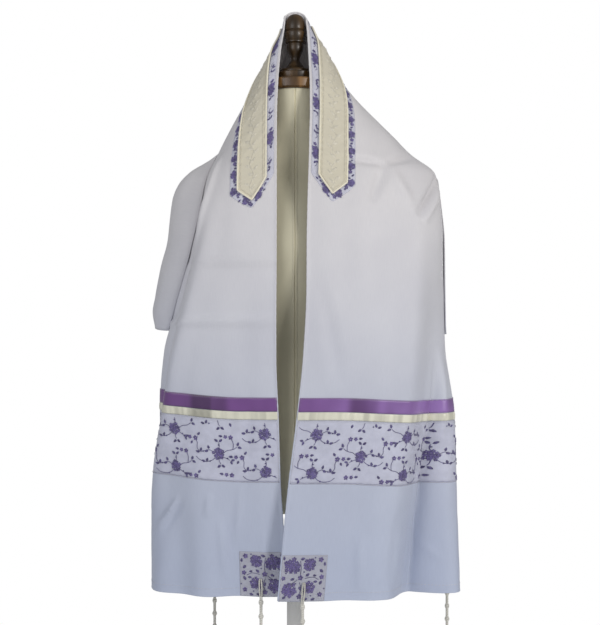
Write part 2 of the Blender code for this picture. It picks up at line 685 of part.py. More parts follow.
def make_tassel(name, side, t):
    """A tassel: a run on the patch from the hole to the hem, a knotted cord and loose strands."""
    drops = np.linspace(-HOLE_UP, 0, 4)
    points, normals = front_points(side, np.full(4, t), HEM_Z - drops)
    on_patch = points + normals * (SEAM_GAP + TRIM_CLOTH + LAID_GAP + RUN_RADIUS)
    rings = [(p, RUN_RADIUS) for p in on_patch]
    hang = on_patch[-1]
    rings += [(hang - (0, 0, drop), radius) for drop, radius in tassel_outline()]
    turn = np.linspace(0, 2 * math.pi, STRANDS, endpoint=False)
    circle = np.stack([np.cos(turn), np.sin(turn), 0 * turn], axis=-1)
    verts = [p + circle * radius for p, radius in rings]
    # The strands grow from the cells between the cord's last ring and a smaller one inside it.
    foot, foot_radius = rings[-1]
    verts.append(foot + circle * foot_radius * CORE_SHARE)
    verts = list(np.concatenate(verts))
    n, faces = STRANDS, [tuple(range(STRANDS))]
    for r in range(len(rings) - 1):
        for k in range(n):
            a, b = r * n + k, r * n + (k + 1) % n
            faces.append((a, a + n, b + n, b))
    outer, inner = (len(rings) - 1) * n, len(rings) * n
    faces.append(tuple(range(inner + n - 1, inner - 1, -1)))
    for k in range(n):
        after = (k + 1) % n
        grow_strand(verts, faces, (outer + k, outer + after, inner + after, inner + k), foot, k)
    mesh_object(name, verts, faces, "tassel")


def grow_strand(verts, faces, root, foot, k):
    """A four-sided strand from a root cell, spread out from the tassel's middle."""
    angle = 2 * math.pi * (k + 0.5) / STRANDS
    length = TASSEL_HANG - WOUND_LENGTH - STRAND_UNEVEN * (k * 3 % STRANDS) / STRANDS
    ring = root
    for share in STRAND_SHARES:
        away = STRAND_SPREAD * (0.55 + 0.45 * share) * (1 + 0.35 * math.sin(5 * k + 3 * share))
        middle = foot + (away * math.cos(angle), away * math.sin(angle), -length * share)
        start = len(verts)
        for corner in range(4):
            turn = angle - math.pi / 4 + corner * math.pi / 2
            verts.append(middle + STRAND_RADIUS * np.array([math.cos(turn), math.sin(turn), 0]))
        here = tuple(range(start, start + 4))
        faces.extend((ring[j], here[j], here[(j + 1) % 4], ring[(j + 1) % 4]) for j in range(4))
        ring = here
    faces.append(ring[::-1])


def make_torso():
    """The torso, a ring of points at each height, closed by a flat top and bottom."""
    rows = curves(TORSO_COLUMNS, TORSO_ROWS)
    heights = np.linspace(TORSO_BOTTOM_Z, TORSO_TOP_Z, TORSO_RINGS)
    around = np.linspace(0, 2 * math.pi, TORSO_POINTS, endpoint=False)
    verts, faces = [], []
    for z in heights:
        for a in around:
            depth = rows["back"](z) if math.sin(a) > 0 else rows["front"](z)
            verts.append((rows["wide"](z) * math.cos(a), depth * math.sin(a), z))
    n = len(around)
    for r in range(len(heights) - 1):
        for c in range(n):
            a, b = r * n + c, r * n + (c + 1) % n
            faces.append((a, b, b + n, a + n))
    faces.append(tuple(range(n - 1, -1, -1)))
    top = (len(heights) - 1) * n
    faces.append(tuple(range(top, top + n)))
    mesh_object("form_torso", verts, faces, "form_cover")


def turned(name, rows, bottom, material, steps=16):
    """A turned piece from its outline, given from the top down as height and radius."""
    mesh = bpy.data.meshes.new(name)
    outline = [(r, 0, bottom + h) for h, r in rows] + [(0, 0, bottom + rows[-1][0])]
    edges = [(k, k + 1) for k in range(len(outline) - 1)]
    mesh.from_pydata(outline, edges, [])
    thing = add_object(name, mesh, material)
    screw = thing.modifiers.new("turn", "SCREW")
    screw.axis = "Z"
    screw.steps = screw.render_steps = steps
    screw.use_merge_vertices = True
    screw.merge_threshold = MERGE
    return thing


def make_stand():
    """The form's turned pieces: neck plate, knob, pole and base."""
    plate_bottom = TORSO_TOP_Z + SEAM_GAP
    top, edge = PLATE_THICK, PLATE_EDGE
    plate_rows = (
        (top, 0.0), (top, PLATE_RADIUS - edge), (top - edge, PLATE_RADIUS),
        (edge, PLATE_RADIUS), (0.0, PLATE_RADIUS - edge),
    )
    turned("form_neck_plate", plate_rows, plate_bottom, "dark_wood")
    knob_bottom = plate_bottom + PLATE_THICK + SEAM_GAP
    turned("form_knob", KNOB_ROWS, knob_bottom, "dark_wood")
    pole_bottom = BASE_THICK + SEAM_GAP
    pole_length = TORSO_BOTTOM_Z - SEAM_GAP - pole_bottom
    pole_rows = ((pole_length, 0.0), (pole_length, POLE_RADIUS), (0.0, POLE_RADIUS))
    turned("stand_pole", pole_rows, pole_bottom, "painted_steel")
    turned("stand_base", BASE_ROWS, 0.0, "painted_steel", BASE_STEPS)


def main():
    for old in list(bpy.data.objects):
        bpy.data.objects.remove(old, do_unlink=True)
    bpy.context.scene.collection.children.link(bpy.data.collections.new(COLLECTION))
    for side in SIDE_SIGN:
        make_front(side)
        make_band("lace_band", side, band_rows(*LACE_BAND), "lace")
        make_band("ribbon_cream", side, CREAM_RIBBON, "cream_ribbon")
        make_band("ribbon_purple", side, PURPLE_RIBBON, "purple_ribbon")
        for corner, hole in (("inner", HOLE_IN), ("outer", FRONT_REACH - HOLE_IN)):
            make_patch(f"patch_{corner}", side, front_columns()[PATCH_COLUMNS[corner]])
            make_tassel(f"tassel_{corner}_{side}", side, hole)
    make_back()
    make_neckband()
    make_torso()
    make_stand()


main()
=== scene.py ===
"""The looks of a tallit draped over a dress form: cloth, trim, embroidery, tassels, form and stage.

Metres, +Z up, the front faces -Y. Every sewn piece is laid on the shawl's own threads: t is a
thread's distance from the neck edge, and z or w says how far along the thread a point is.
"""

import json
import math
from functools import lru_cache

import bmesh
import bpy
import numpy as np
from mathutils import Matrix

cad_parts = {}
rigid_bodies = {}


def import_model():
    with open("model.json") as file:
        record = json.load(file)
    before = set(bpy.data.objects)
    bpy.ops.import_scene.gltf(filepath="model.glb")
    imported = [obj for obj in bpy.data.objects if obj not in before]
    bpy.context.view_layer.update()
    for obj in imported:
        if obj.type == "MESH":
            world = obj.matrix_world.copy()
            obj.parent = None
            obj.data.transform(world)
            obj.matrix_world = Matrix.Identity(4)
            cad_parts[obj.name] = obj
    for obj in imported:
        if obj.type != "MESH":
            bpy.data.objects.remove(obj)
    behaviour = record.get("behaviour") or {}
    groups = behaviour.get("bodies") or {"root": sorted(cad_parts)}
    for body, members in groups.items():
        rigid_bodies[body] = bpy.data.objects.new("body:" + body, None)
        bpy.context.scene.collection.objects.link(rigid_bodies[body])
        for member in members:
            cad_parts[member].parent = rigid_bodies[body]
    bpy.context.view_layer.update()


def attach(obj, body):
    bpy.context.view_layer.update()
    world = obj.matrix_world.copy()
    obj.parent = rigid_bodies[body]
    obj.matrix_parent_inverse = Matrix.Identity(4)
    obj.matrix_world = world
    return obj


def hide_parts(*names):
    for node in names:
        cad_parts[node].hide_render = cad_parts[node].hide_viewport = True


bl_info = {
    "name": "Draped tallit",
    "version": (1, 0, 0),
    "blender": (4, 5, 0),
    "location": "3D View > Sidebar > Tallit",
    "description": "Cloth, trim, embroidery and tassels of a tallit on a dress form",
    "category": "Add Mesh",
}

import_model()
SIDES = {"left": -1.0, "right": 1.0}
DOWN = np.array((0.0, 0.0, -1.0))
FULL_TURN = 2 * math.pi
MM = 1000.0

# The cloth
CUT_WIDTH = 0.50
HEM_Z = 0.365
NECK_Z = 1.306
TAIL_TOP_Z = 0.880
LAID_GAP = 0.0009
CLOTH = 0.0014
ROLL_WIDTH, ROLL_LIFT = 0.0014, 0.0008      # the rolled edge
ROLL_RADIUS = 0.0013
HEM_WIDTH, HEM_LIFT, HEM_SOFT = 0.0140, 0.00035, 0.0015     # the turned and stitched bottom hem
HEM_ROLL, HEM_ROLL_AT, HEM_ROLL_WIDTH = 0.6, 0.0010, 0.0012

# Bands across each front, as heights above the hem
PATCH_SIDE = 0.072
LACE_BAND = (0.182, 0.2815)
CREAM_RIBBON = (0.2822, 0.2945)
PURPLE_RIBBON = (0.2952, 0.3170)
SLANT = {"left": 0.0088, "right": -0.0070}
# Where the slant comes up and goes again: from which thread or height, and over how much.
SLANT_UP, SLANT_AWAY, SLANT_OVER_HEM = (0.05, 0.17), (0.28, 0.08), (0.10, 0.08)

# The neckband and the lace under it, as distances of their threads from the neck edge
LACE_T = (0.0030, 0.0740)
BAND_T = (0.0155, 0.0610)
POINT_HEIGHT, LACE_POINT_HEIGHT = 0.025, 0.034
TIP_Z = {"left": 0.993, "right": 1.003}
LACE_BELOW_TIP = 0.013

# The tzitzit
HOLE_IN, HOLE_UP = 0.038, 0.028
TASSEL_HANG, WOUND_LENGTH = 0.270, 0.105
CORD_RADIUS, KNOT_RADIUS, KNOT_LENGTH, KNOTS = 0.0026, 0.0042, 0.008, 5
STRANDS, STRAND_SPREAD, STRAND_UNEVEN, STRAND_RADIUS = 8, 0.0065, 0.012, 0.0010
STRAND_SPREAD_DEPTH, STRAND_RINGS = 0.8, 40
WINDING_PITCH, WINDING_HEIGHT = 0.0016, 0.0004
WOUND_START, WOUND_RINGS, WOUND_SIDES = 0.004, 400, 12
OVER_RINGS, OVER_APART, OVER_BELLY = 14, 0.0013, 0.0011

# The form and its stand
SEAM_GAP = 0.0003
TORSO_BOTTOM_Z, TORSO_TOP_Z = 0.493, 1.184
TORSO_SEAMS = np.array((-math.pi / 2, math.pi / 2, 0.0, math.pi))
SEAM_RIDGE, SEAM_RIDGE_AT, SEAM_RIDGE_WIDTH = 0.0011, 0.0022, 0.0016
SEAM_GROOVE, SEAM_GROOVE_WIDTH = 0.0012, 0.0009
TORSO_ROUND, TORSO_IN = 0.004, 0.0004
PLATE_RADIUS, PLATE_THICK, PLATE_EDGE, PLATE_STEPS = 0.054, 0.018, 0.003, 6
POLE_RADIUS = 0.014
BASE_RADIUS, BASE_THICK = 0.185, 0.022
# The base's outline from the top down: height, and how far inside its radius.
BASE_ROWS = (
    (0.0220, BASE_RADIUS), (0.0220, 0.145), (0.0206, 0.062), (0.0180, 0.030), (0.0158, 0.012),
    (0.0140, 0.004), (0.0118, 0.0006), (0.0095, 0.0), (0.0020, 0.0), (0.0, 0.002),
)

FRONT_COLUMNS = ("z", "inner", "front", "fold", "side", "square")
FRONT_ROWS = {
    "left": (
        (0.365, 0.0155, -0.114, 0.2278, -0.032, 2.8),
        (0.450, 0.0175, -0.118, 0.2255, -0.032, 2.7),
        (0.550, 0.0236, -0.123, 0.2262, -0.030, 2.6),
        (0.650, 0.0268, -0.127, 0.2250, -0.030, 2.6),
        (0.748, 0.0305, -0.130, 0.2160, -0.036, 2.6),
        (0.807, 0.0305, -0.132, 0.2010, -0.046, 2.5),
        (0.900, 0.0300, -0.132, 0.1740, -0.060, 2.4),
        (0.975, 0.0300, -0.125, 0.1560, -0.062, 2.3),
        (1.035, 0.0302, -0.112, 0.1440, -0.050, 2.2),
        (1.081, 0.0304, -0.097, 0.1260, -0.020, 2.2),
        (1.130, 0.0304, -0.080, 0.1030, -0.006, 2.2),
        (1.185, 0.0290, -0.060, 0.0735, 0.002, 2.2),
        (1.248, 0.0247, -0.028, 0.0405, 0.004, 2.2),
        (1.284, 0.0195, -0.014, 0.0228, 0.004, 2.2),
        (1.306, 0.0165, -0.006, 0.0182, 0.004, 2.2),
    ),
    "right": (
        (0.365, -0.0265, -0.146, 0.2690, -0.022, 2.3),
        (0.450, -0.0190, -0.143, 0.2625, -0.022, 2.3),
        (0.550, -0.0090, -0.140, 0.2600, -0.022, 2.4),
        (0.650, 0.0035, -0.138, 0.2570, -0.022, 2.4),
        (0.750, 0.0140, -0.137, 0.2490, -0.022, 2.5),
        (0.850, 0.0190, -0.135, 0.2470, -0.022, 2.5),
        (0.932, 0.0195, -0.131, 0.2460, -0.022, 2.4),
        (1.002, 0.0210, -0.121, 0.2400, -0.018, 2.3),
        (1.045, 0.0225, -0.108, 0.2330, -0.012, 2.2),
        (1.078, 0.0235, -0.098, 0.1925, -0.008, 2.1),
        (1.107, 0.0240, -0.090, 0.1650, -0.005, 2.1),
        (1.138, 0.0250, -0.078, 0.1335, -0.002, 2.1),
        (1.185, 0.0250, -0.060, 0.0900, 0.002, 2.2),
        (1.214, 0.0240, -0.045, 0.0700, 0.003, 2.2),
        (1.248, 0.0225, -0.028, 0.0530, 0.004, 2.2),
        (1.284, 0.0205, -0.014, 0.0300, 0.004, 2.2),
        (1.306, 0.0180, -0.006, 0.0200, 0.004, 2.2),
    ),
}
SHOULDER_Z = {"left": 1.081, "right": 1.045}
FRONT_REACH = 0.456
BACK_SIDE_ROWS = {
    "left": (
        (0.770, 0.2310), (0.790, 0.2350), (0.815, 0.2385), (0.842, 0.2325), (0.890, 0.2225),
        (0.934, 0.2125), (1.004, 0.2060), (1.028, 0.1975), (1.050, 0.1780), (1.066, 0.1520),
        (1.081, 0.1262),
    ),
    "right": (
        (0.770, 0.2520), (0.850, 0.2510), (0.932, 0.2500), (1.002, 0.2425), (1.045, 0.2332),
    ),
}
BACK_SIDE_DEPTH, LAPPED_BEHIND, PARTING = 0.012, 0.005, 0.010
LEAST_OUT, EDGE_SQUARE, BACK_SQUARE = 0.0002, 2.2, 2.25
TAIL_RUN, LEVEL_POWER = 0.10, 1.5
BACK_COLUMNS = ("z", "back", "tail")
BACK_ROWS = (
    (0.365, 0.128, 0.128),
    (0.550, 0.134, 0.128),
    (0.700, 0.141, 0.124),
    (0.800, 0.145, 0.120),
    (0.850, 0.144, 0.119),
    (0.930, 0.140, 0.117),
    (1.000, 0.132, 0.115),
    (1.040, 0.121, 0.110),
    (1.080, 0.103, 0.103),
    (1.130, 0.080, 0.080),
    (1.185, 0.064, 0.064),
    (1.248, 0.034, 0.034),
    (1.284, 0.0197, 0.0197),
    (1.306, 0.0167, 0.0167),
)
SWAG_FOOT_Z = {"left": 0.786, "right": 0.780}
LOWEST_MIDDLE = 0.70

# Folds, one row each: where they start and end, their half width, and how far they stand out.
FOLD_FADE = 0.25            # the share of its length over which a fold comes up
FOLD_COLUMNS = ("t_head", "z_head", "t_foot", "z_foot", "half", "out_head", "out_foot")
FRONT_FOLDS = {
    "left": (
        (0.088, 1.080, 0.150, 0.830, 0.020, 0.000, 0.007),
        (0.130, 1.000, 0.185, 0.790, 0.018, 0.000, -0.012),
        (0.118, 0.720, 0.124, 0.330, 0.024, 0.001, 0.005),
        (0.078, 0.760, 0.074, 0.330, 0.022, 0.000, -0.006),
        (0.185, 0.620, 0.175, 0.330, 0.022, 0.000, -0.007),
        (0.222, 0.700, 0.222, 0.330, 0.026, 0.001, 0.007),
        (0.305, 0.870, 0.300, 0.330, 0.028, -0.002, -0.014),
        (0.362, 0.870, 0.358, 0.330, 0.028, 0.004, 0.014),
        (0.418, 0.870, 0.420, 0.330, 0.026, -0.002, -0.012),
    ),
    "right": (
        (0.238, 0.990, 0.232, 0.330, 0.032, -0.001, -0.050),
        (0.282, 0.800, 0.290, 0.330, 0.030, 0.001, 0.016),
        (0.100, 0.720, 0.104, 0.330, 0.026, 0.000, -0.006),
        (0.148, 0.700, 0.152, 0.330, 0.024, 0.000, 0.005),
        (0.345, 0.870, 0.345, 0.330, 0.026, -0.002, -0.012),
        (0.398, 0.870, 0.400, 0.330, 0.026, 0.003, 0.012),
    ),
}
BACK_FOLD_FADE = 0.08       # the share of the back's width, at its sides, that stays flat
BACK_FOLDS = (
    (0.115, 0.190, 0.170, 0.560, 0.045, 0.000, 0.010),
    (0.205, 0.220, 0.270, 0.560, 0.045, 0.000, -0.009),
    (0.330, 0.200, 0.370, 0.560, 0.050, 0.001, 0.009),
    (0.480, 0.200, 0.470, 0.560, 0.055, 0.000, -0.010),
    (0.590, 0.180, 0.575, 0.560, 0.045, 0.001, 0.009),
    (0.720, 0.220, 0.680, 0.560, 0.045, 0.000, -0.008),
    (0.840, 0.240, 0.800, 0.560, 0.050, 0.000, 0.011),
)
# Creases, one row each: a line between two points of the cloth, its half width and its height.
CREASE_DEPTH, CREASE_ENDS = 2.8, 0.7
CREASE_COLUMNS = ("t_a", "z_a", "t_b", "z_b", "half", "out")
CREASES = {
    "left": (
        (0.100, 1.072, 0.148, 0.895, 0.0060, 0.0026),
        (0.112, 1.050, 0.165, 0.880, 0.0070, -0.0022),
        (0.160, 0.935, 0.215, 0.800, 0.0075, -0.0032),
        (0.186, 0.900, 0.226, 0.805, 0.0060, 0.0020),
        (-0.04, 0.899, 0.150, 0.896, 0.0055, 0.0014),
        (-0.04, 0.804, 0.245, 0.799, 0.0055, 0.0016),
        (0.168, 0.522, 0.216, 0.464, 0.0035, 0.0022),
        (0.160, 0.515, 0.205, 0.462, 0.0050, -0.0014),
        (0.112, 0.530, 0.121, 0.492, 0.0045, 0.0014),
        (0.062, 0.545, 0.078, 0.448, 0.0050, 0.0012),
        (0.100, 0.492, 0.096, 0.390, 0.0055, 0.0015),
        (0.040, 0.700, 0.052, 0.560, 0.0100, -0.0012),
        (0.030, 0.470, 0.034, 0.380, 0.0060, 0.0010),
    ),
    "right": (
        (0.240, 1.042, 0.182, 0.972, 0.0070, -0.0046),
        (0.238, 1.020, 0.192, 0.960, 0.0065, 0.0028),
        (0.124, 1.056, 0.062, 1.062, 0.0050, -0.0028),
        (0.124, 1.056, 0.184, 1.074, 0.0050, -0.0030),
        (0.124, 1.058, 0.100, 0.992, 0.0085, -0.0022),
        (0.128, 1.052, 0.172, 0.985, 0.0100, 0.0020),
        (0.256, 0.740, 0.236, 0.355, 0.0070, -0.0050),
        (0.266, 0.760, 0.262, 0.600, 0.0080, 0.0024),
        (0.250, 0.444, 0.272, 0.416, 0.0035, 0.0014),
        (0.020, 0.860, 0.060, 0.700, 0.0120, -0.0012),
        (0.120, 0.470, 0.126, 0.380, 0.0070, 0.0012),
        (0.180, 0.500, 0.176, 0.380, 0.0080, -0.0014),
    ),
}

# The small unevenness of a soft cloth, one row each: its height and two waves that cross.
RIPPLE_COLUMNS = ("height", "t_a", "z_a", "start_a", "t_b", "z_b", "start_b")
RIPPLES = (
    (0.0009, 31, 9, 0.0, 11, -23, 1.3),
    (0.0003, 83, -37, 0.7, 21, 59, 0.0),
    (0.0006, 105, 4, 1.1, 17, -6, 0.0),
)

TORSO_COLUMNS = ("z", "wide", "front", "back")
TORSO_ROWS = (
    (0.493, 0.165, 0.098, 0.098),
    (0.560, 0.168, 0.101, 0.101),
    (0.640, 0.160, 0.096, 0.098),
    (0.760, 0.122, 0.088, 0.084),
    (0.860, 0.140, 0.108, 0.086),
    (0.920, 0.150, 0.116, 0.092),
    (0.980, 0.150, 0.100, 0.096),
    (1.020, 0.154, 0.078, 0.092),
    (1.040, 0.148, 0.066, 0.084),
    (1.060, 0.122, 0.060, 0.076),
    (1.080, 0.092, 0.056, 0.067),
    (1.105, 0.064, 0.050, 0.058),
    (1.135, 0.050, 0.047, 0.052),
    (1.184, 0.048, 0.047, 0.048),
)
# The turned knob's outline from the top down: height above the plate, radius.
KNOB_ROWS = (
    (0.1130, 0.0000), (0.1126, 0.0035), (0.1112, 0.0078), (0.1085, 0.0115), (0.1040, 0.0143),
    (0.0980, 0.0158), (0.0920, 0.0164), (0.0872, 0.0165), (0.0858, 0.0160), (0.0848, 0.0150),
    (0.0838, 0.0152), (0.0826, 0.0170), (0.0805, 0.0174), (0.0770, 0.0172), (0.0730, 0.0166),
    (0.0702, 0.0154), (0.0690, 0.0150), (0.0680, 0.0160), (0.0664, 0.0166), (0.0648, 0.0162),
    (0.0638, 0.0140), (0.0628, 0.0130), (0.0600, 0.0134), (0.0560, 0.0138), (0.0510, 0.0132),
    (0.0470, 0.0112), (0.0430, 0.0088), (0.0390, 0.0073), (0.0360, 0.0070), (0.0335, 0.0078),
    (0.0310, 0.0098), (0.0270, 0.0126), (0.0230, 0.0155), (0.0205, 0.0205), (0.0190, 0.0270),
    (0.0176, 0.0292), (0.0155, 0.0300), (0.0135, 0.0296), (0.0124, 0.0300), (0.0122, 0.0380),
    (0.0112, 0.0398), (0.0014, 0.0400), (0.0000, 0.0392),
)

# The embroidery, in millimetres. A motif's parts, one row each: kind, across, up, size, turn.
MOTIF_COLUMNS = ("kind", "x", "y", "size", "turn")
MOTIF_STEP, MOTIF_RISE, MOTIF_DROP = 74.0, 60.0, 27.0
MOTIF_START, MOTIF_UP = 22.0, 17.0
MOTIF_SHIFT = {"left": 0.0, "right": 12.0}
MOTIF_PARTS = (
    ("cluster", 0.0, 0.0, 9.4, 0.0),
    ("leaf", -1.0, 19.0, 7.0, 140.0), ("leaf", 0.5, 19.0, 7.0, 35.0), ("bud", -0.5, 14.0, 3.2, 0.0),
    ("leaf", 15.0, 6.5, 6.6, 75.0), ("leaf", 16.0, 5.0, 6.6, 330.0),
    ("leaf", 29.0, 1.5, 7.0, 105.0), ("leaf", 30.0, 0.5, 7.0, 10.0), ("bud", 24.5, 2.5, 3.0, 0.0),
    ("flower", 37.0, 22.5, 6.4, 10.0), ("flower", 46.5, 23.0, 5.2, 50.0),
    ("leaf", 51.0, 23.0, 7.4, 5.0), ("leaf", 33.5, 27.0, 6.6, 130.0), ("leaf", 42.0, 17.5, 6.0, 300.0),
    ("leaf", -30.0, 13.5, 7.0, 110.0), ("leaf", -30.5, 12.5, 7.0, 200.0),
    ("flower", -20.0, 27.0, 6.0, 20.0), ("flower", -11.5, 27.5, 5.0, 60.0),
    ("leaf", -7.0, 27.8, 6.6, 10.0),
    ("leaf", -4.0, -17.0, 7.0, 215.0), ("leaf", -3.0, -17.5, 7.0, 320.0),
    ("leaf", 21.0, -14.0, 6.6, 20.0), ("leaf", 19.5, -13.5, 6.6, 110.0), ("bud", 14.0, -12.5, 3.0, 0.0),
    ("leaf", -19.0, -10.0, 6.4, 250.0), ("leaf", -19.5, -9.5, 6.4, 170.0),
    ("bud", -14.0, -6.5, 3.0, 0.0),
)
# Stems of a motif: points that a curve passes.
MOTIF_STEMS = (
    ((0.0, 7.0), (-1.5, 13.0), (-0.5, 19.0)),
    ((7.0, 2.0), (15.0, 5.5), (22.0, 3.5), (29.5, 1.0)),
    ((29.5, 1.0), (34.5, 8.0), (34.0, 15.0), (37.0, 21.0)),
    ((-7.0, 1.0), (-14.0, 6.0), (-23.0, 8.0), (-30.5, 13.0)),
    ((-23.0, 8.0), (-24.0, 16.0), (-21.0, 25.0)),
    ((0.0, -7.0), (-1.0, -12.0), (-3.5, -17.0)),
    ((5.0, -6.0), (11.0, -11.0), (20.0, -13.5), (29.0, -12.0), (37.0, -6.0)),
    ((-6.0, -4.0), (-12.0, -6.5), (-19.0, -10.0)),
)
# A corner patch's flowers, in millimetres from its lower inner corner.
PATCH_PARTS = (
    ("cluster", 17.0, 55.0, 12.5, 0.0), ("cluster", 44.0, 57.0, 10.0, 20.0),
    ("cluster", 15.0, 18.0, 11.5, 50.0), ("cluster", 45.0, 22.0, 10.0, 80.0),
    ("flower", 61.0, 65.0, 6.5, 0.0), ("flower", 64.0, 38.0, 6.0, 30.0),
    ("flower", 31.0, 37.0, 6.6, 10.0), ("flower", 4.5, 36.0, 5.6, 40.0),
    ("flower", 31.0, 8.0, 6.4, 25.0), ("flower", 63.0, 11.0, 6.2, 15.0),
    ("leaf", 29.0, 65.0, 7.5, 20.0), ("leaf", 60.0, 50.0, 7.5, 320.0),
    ("leaf", 22.0, 36.0, 7.0, 200.0), ("leaf", 39.0, 39.0, 7.5, 40.0),
    ("leaf", 61.0, 26.0, 7.5, 60.0), ("leaf", 56.0, 5.0, 7.0, 200.0),
    ("leaf", 38.0, 3.5, 7.0, 10.0), ("leaf", 4.0, 64.0, 6.5, 100.0),
    ("leaf", 30.0, 24.0, 7.0, 290.0), ("leaf", 26.0, 46.0, 6.0, 60.0),
    ("leaf", 5.0, 4.0, 7.0, 40.0), ("leaf", 58.0, 31.0, 6.5, 180.0),
    ("leaf", 68.0, 55.0, 6.5, 100.0), ("leaf", 50.0, 41.0, 6.0, 350.0),
    ("bud", 36.0, 46.0, 2.8, 0.0), ("bud", 24.0, 28.0, 2.8, 0.0), ("bud", 52.0, 68.0, 2.8, 0.0),
    ("bud", 69.0, 20.0, 2.8, 0.0), ("bud", 8.0, 44.0, 2.8, 0.0), ("bud", 49.0, 9.0, 2.8, 0.0),
)

# A corner patch's stems, as MOTIF_STEMS.
PATCH_STEMS = (
    ((26, 34), (18, 28), (6, 26)), ((38, 36), (50, 38), (60, 34)),
    ((30, 30), (33, 20), (30, 8)), ((30, 38), (31, 50), (29, 64)),
)
# A petal or leaf of length, width and height 1: along, across, up; and its faces.
LENS_POINTS = (
    (0.0, 0.0, 0.1), (0.35, -0.5, 0.05), (0.8, -0.33, 0.05), (1.0, 0.0, 0.05),
    (0.8, 0.33, 0.05), (0.35, 0.5, 0.05), (0.42, 0.0, 1.0), (0.75, 0.0, 0.8),
)
LENS_FACES = ((0, 1, 6), (1, 2, 7, 6), (2, 3, 7), (3, 4, 7), (4, 5, 6, 7), (5, 0, 6))
PETALS = 5
# Embroidery over organza: how high it lies, and how much of its own height it keeps.
SEWN_LIFT, SEWN_SHARE = 0.0009, 0.9
ORGANZA_LIFT, ORGANZA_THICK = 0.0004, 0.0002
ORGANZA_ALPHA, PATCH_ALPHA = 0.42, 0.60

CAMERA_AT = (0.0079, -2.12, 0.816)
CAMERA_LENS = 72.9
LIGHTS_AIM = (0.0, 0.0, 0.85)
LIGHT_COLUMNS = ("name", "at", "size", "color")
LIGHTS = (
    ("key", (1.60, -1.75, 1.50), 0.6, (1.0, 0.98, 0.96)),
    ("fill", (-1.4, -1.9, 1.5), 1.3, (0.95, 0.96, 1.0)),
    ("rear", (0.5, 2.3, 0.9), 1.4, (1.0, 1.0, 1.0)),
)


def srgb(red, green, blue):
    """A linear colour from 0-255 display values."""
    share = np.array((red, green, blue)) / 255
    linear = np.where(share <= 0.04045, share / 12.92, ((share + 0.055) / 1.055) ** 2.4)
    return tuple(float(v) for v in linear)


def color_property(name, description, default):
    """A colour that a user may change."""
    return bpy.props.FloatVectorProperty(
        name=name, description=description, default=default, subtype="COLOR", min=0, max=1
    )


def length_property(name, description, default):
    """A length that a user may change."""
    return bpy.props.FloatProperty(
        name=name, description=description, default=default, unit="LENGTH"
    )


def power_property(name, description, default):
    """A light's power."""
    return bpy.props.FloatProperty(
        name=name, description=description, default=default, unit="POWER"
    )


class ClothSettings(bpy.types.PropertyGroup):
    """Sizes and colours of the shawl and its tassels."""

    color: color_property("Cloth", "Colour of the satin-faced cloth", srgb(228, 225, 225))
    # Painted cool window light: the cloth is given this bluer colour towards the hem.
    lower: color_property("Lower cloth", "Its cooler colour near the hem", srgb(190, 199, 220))
    tassel: color_property("Tassels", "Colour of the twisted tassel cord", srgb(232, 230, 220))
    thickness: length_property("Thickness", "Thickness of the cloth", 0.0009)
    weave: length_property("Weave", "Distance between two threads", 0.0007)


class TrimSettings(bpy.types.PropertyGroup):
    """Sizes and colours of what is sewn on."""

    purple: color_property("Purple ribbon", "Colour of the wide ribbon", srgb(124, 82, 146))
    purple_light: color_property("Light purple", "Where it catches light", srgb(160, 124, 192))
    cream: color_property("Cream ribbon", "Colour of the narrow ribbon", srgb(228, 226, 208))
    ivory: color_property("Neckband", "Colour of the neckband's satin", srgb(224, 217, 195))
    organza: color_property("Organza", "Tint of the sheer lace ground", srgb(234, 235, 250))
    thread: color_property("Flowers", "Colour of the flowers' thread", srgb(96, 85, 136))
    leaf: color_property("Leaves", "Colour of the leaves' thread", srgb(86, 80, 122))
    vine: color_property("Vine", "Colour of the neckband's stitched vine", srgb(214, 208, 190))
    thickness: length_property("Thickness", "Thickness of the ribbons", 0.0005)


class FormSettings(bpy.types.PropertyGroup):
    """Colours of the dress form and its stand."""

    cover: color_property("Cover", "Colour of the torso's cloth cover", srgb(228, 222, 194))
    walnut: color_property("Knob", "Colour of the turned knob's wood", srgb(66, 46, 18))
    plate: color_property("Neck plate", "Colour of the neck plate's wood", srgb(116, 84, 46))
    paint: color_property("Paint", "Colour of the painted stand", srgb(232, 231, 227))


class StageSettings(bpy.types.PropertyGroup):
    """Light and floor."""

    key: power_property("Key", "Key light", 24.0)
    fill: power_property("Fill", "Fill light", 15.0)
    rear: power_property("Rear", "Rear light", 12.0)
    sky: bpy.props.FloatProperty(name="Sky", description="Brightness of the soft sky", default=0.34)
    floor: length_property("Floor", "Radius of the floor", 1.15)


class Curve:
    """A smooth curve through a table's points that never overshoots them."""

    def __init__(self, at, value):
        self.x, self.y = np.array(at, float), np.array(value, float)
        step = np.diff(self.x)
        rise = np.diff(self.y) / step
        slope = np.zeros_like(self.y)
        before, after = rise[:-1], rise[1:]
        same = before * after > 0
        weight_a, weight_b = 2 * step[1:] + step[:-1], step[1:] + 2 * step[:-1]
        mean = (weight_a + weight_b) / (
            weight_a / np.where(same, before, 1) + weight_b / np.where(same, after, 1)
        )
        slope[1:-1] = np.where(same, mean, 0)
        slope[0], slope[-1] = rise[0], rise[-1]
        self.slope = slope

    def __call__(self, at):
        at = np.clip(at, self.x[0], self.x[-1])
        i = np.clip(np.searchsorted(self.x, at, side="right") - 1, 0, len(self.x) - 2)
        step = self.x[i + 1] - self.x[i]
        u = (at - self.x[i]) / step
        return (
            self.y[i] * (1 + 2 * u) * (1 - u) ** 2
            + self.slope[i] * step * u * (1 - u) ** 2
            + self.y[i + 1] * u**2 * (3 - 2 * u)
            + self.slope[i + 1] * step * u**2 * (u - 1)
        )


def curves(columns, rows):
    """One curve over the first column for each other column."""
    data = np.array(rows, float).T
    return {name: Curve(data[0], data[k]) for k, name in enumerate(columns) if k}


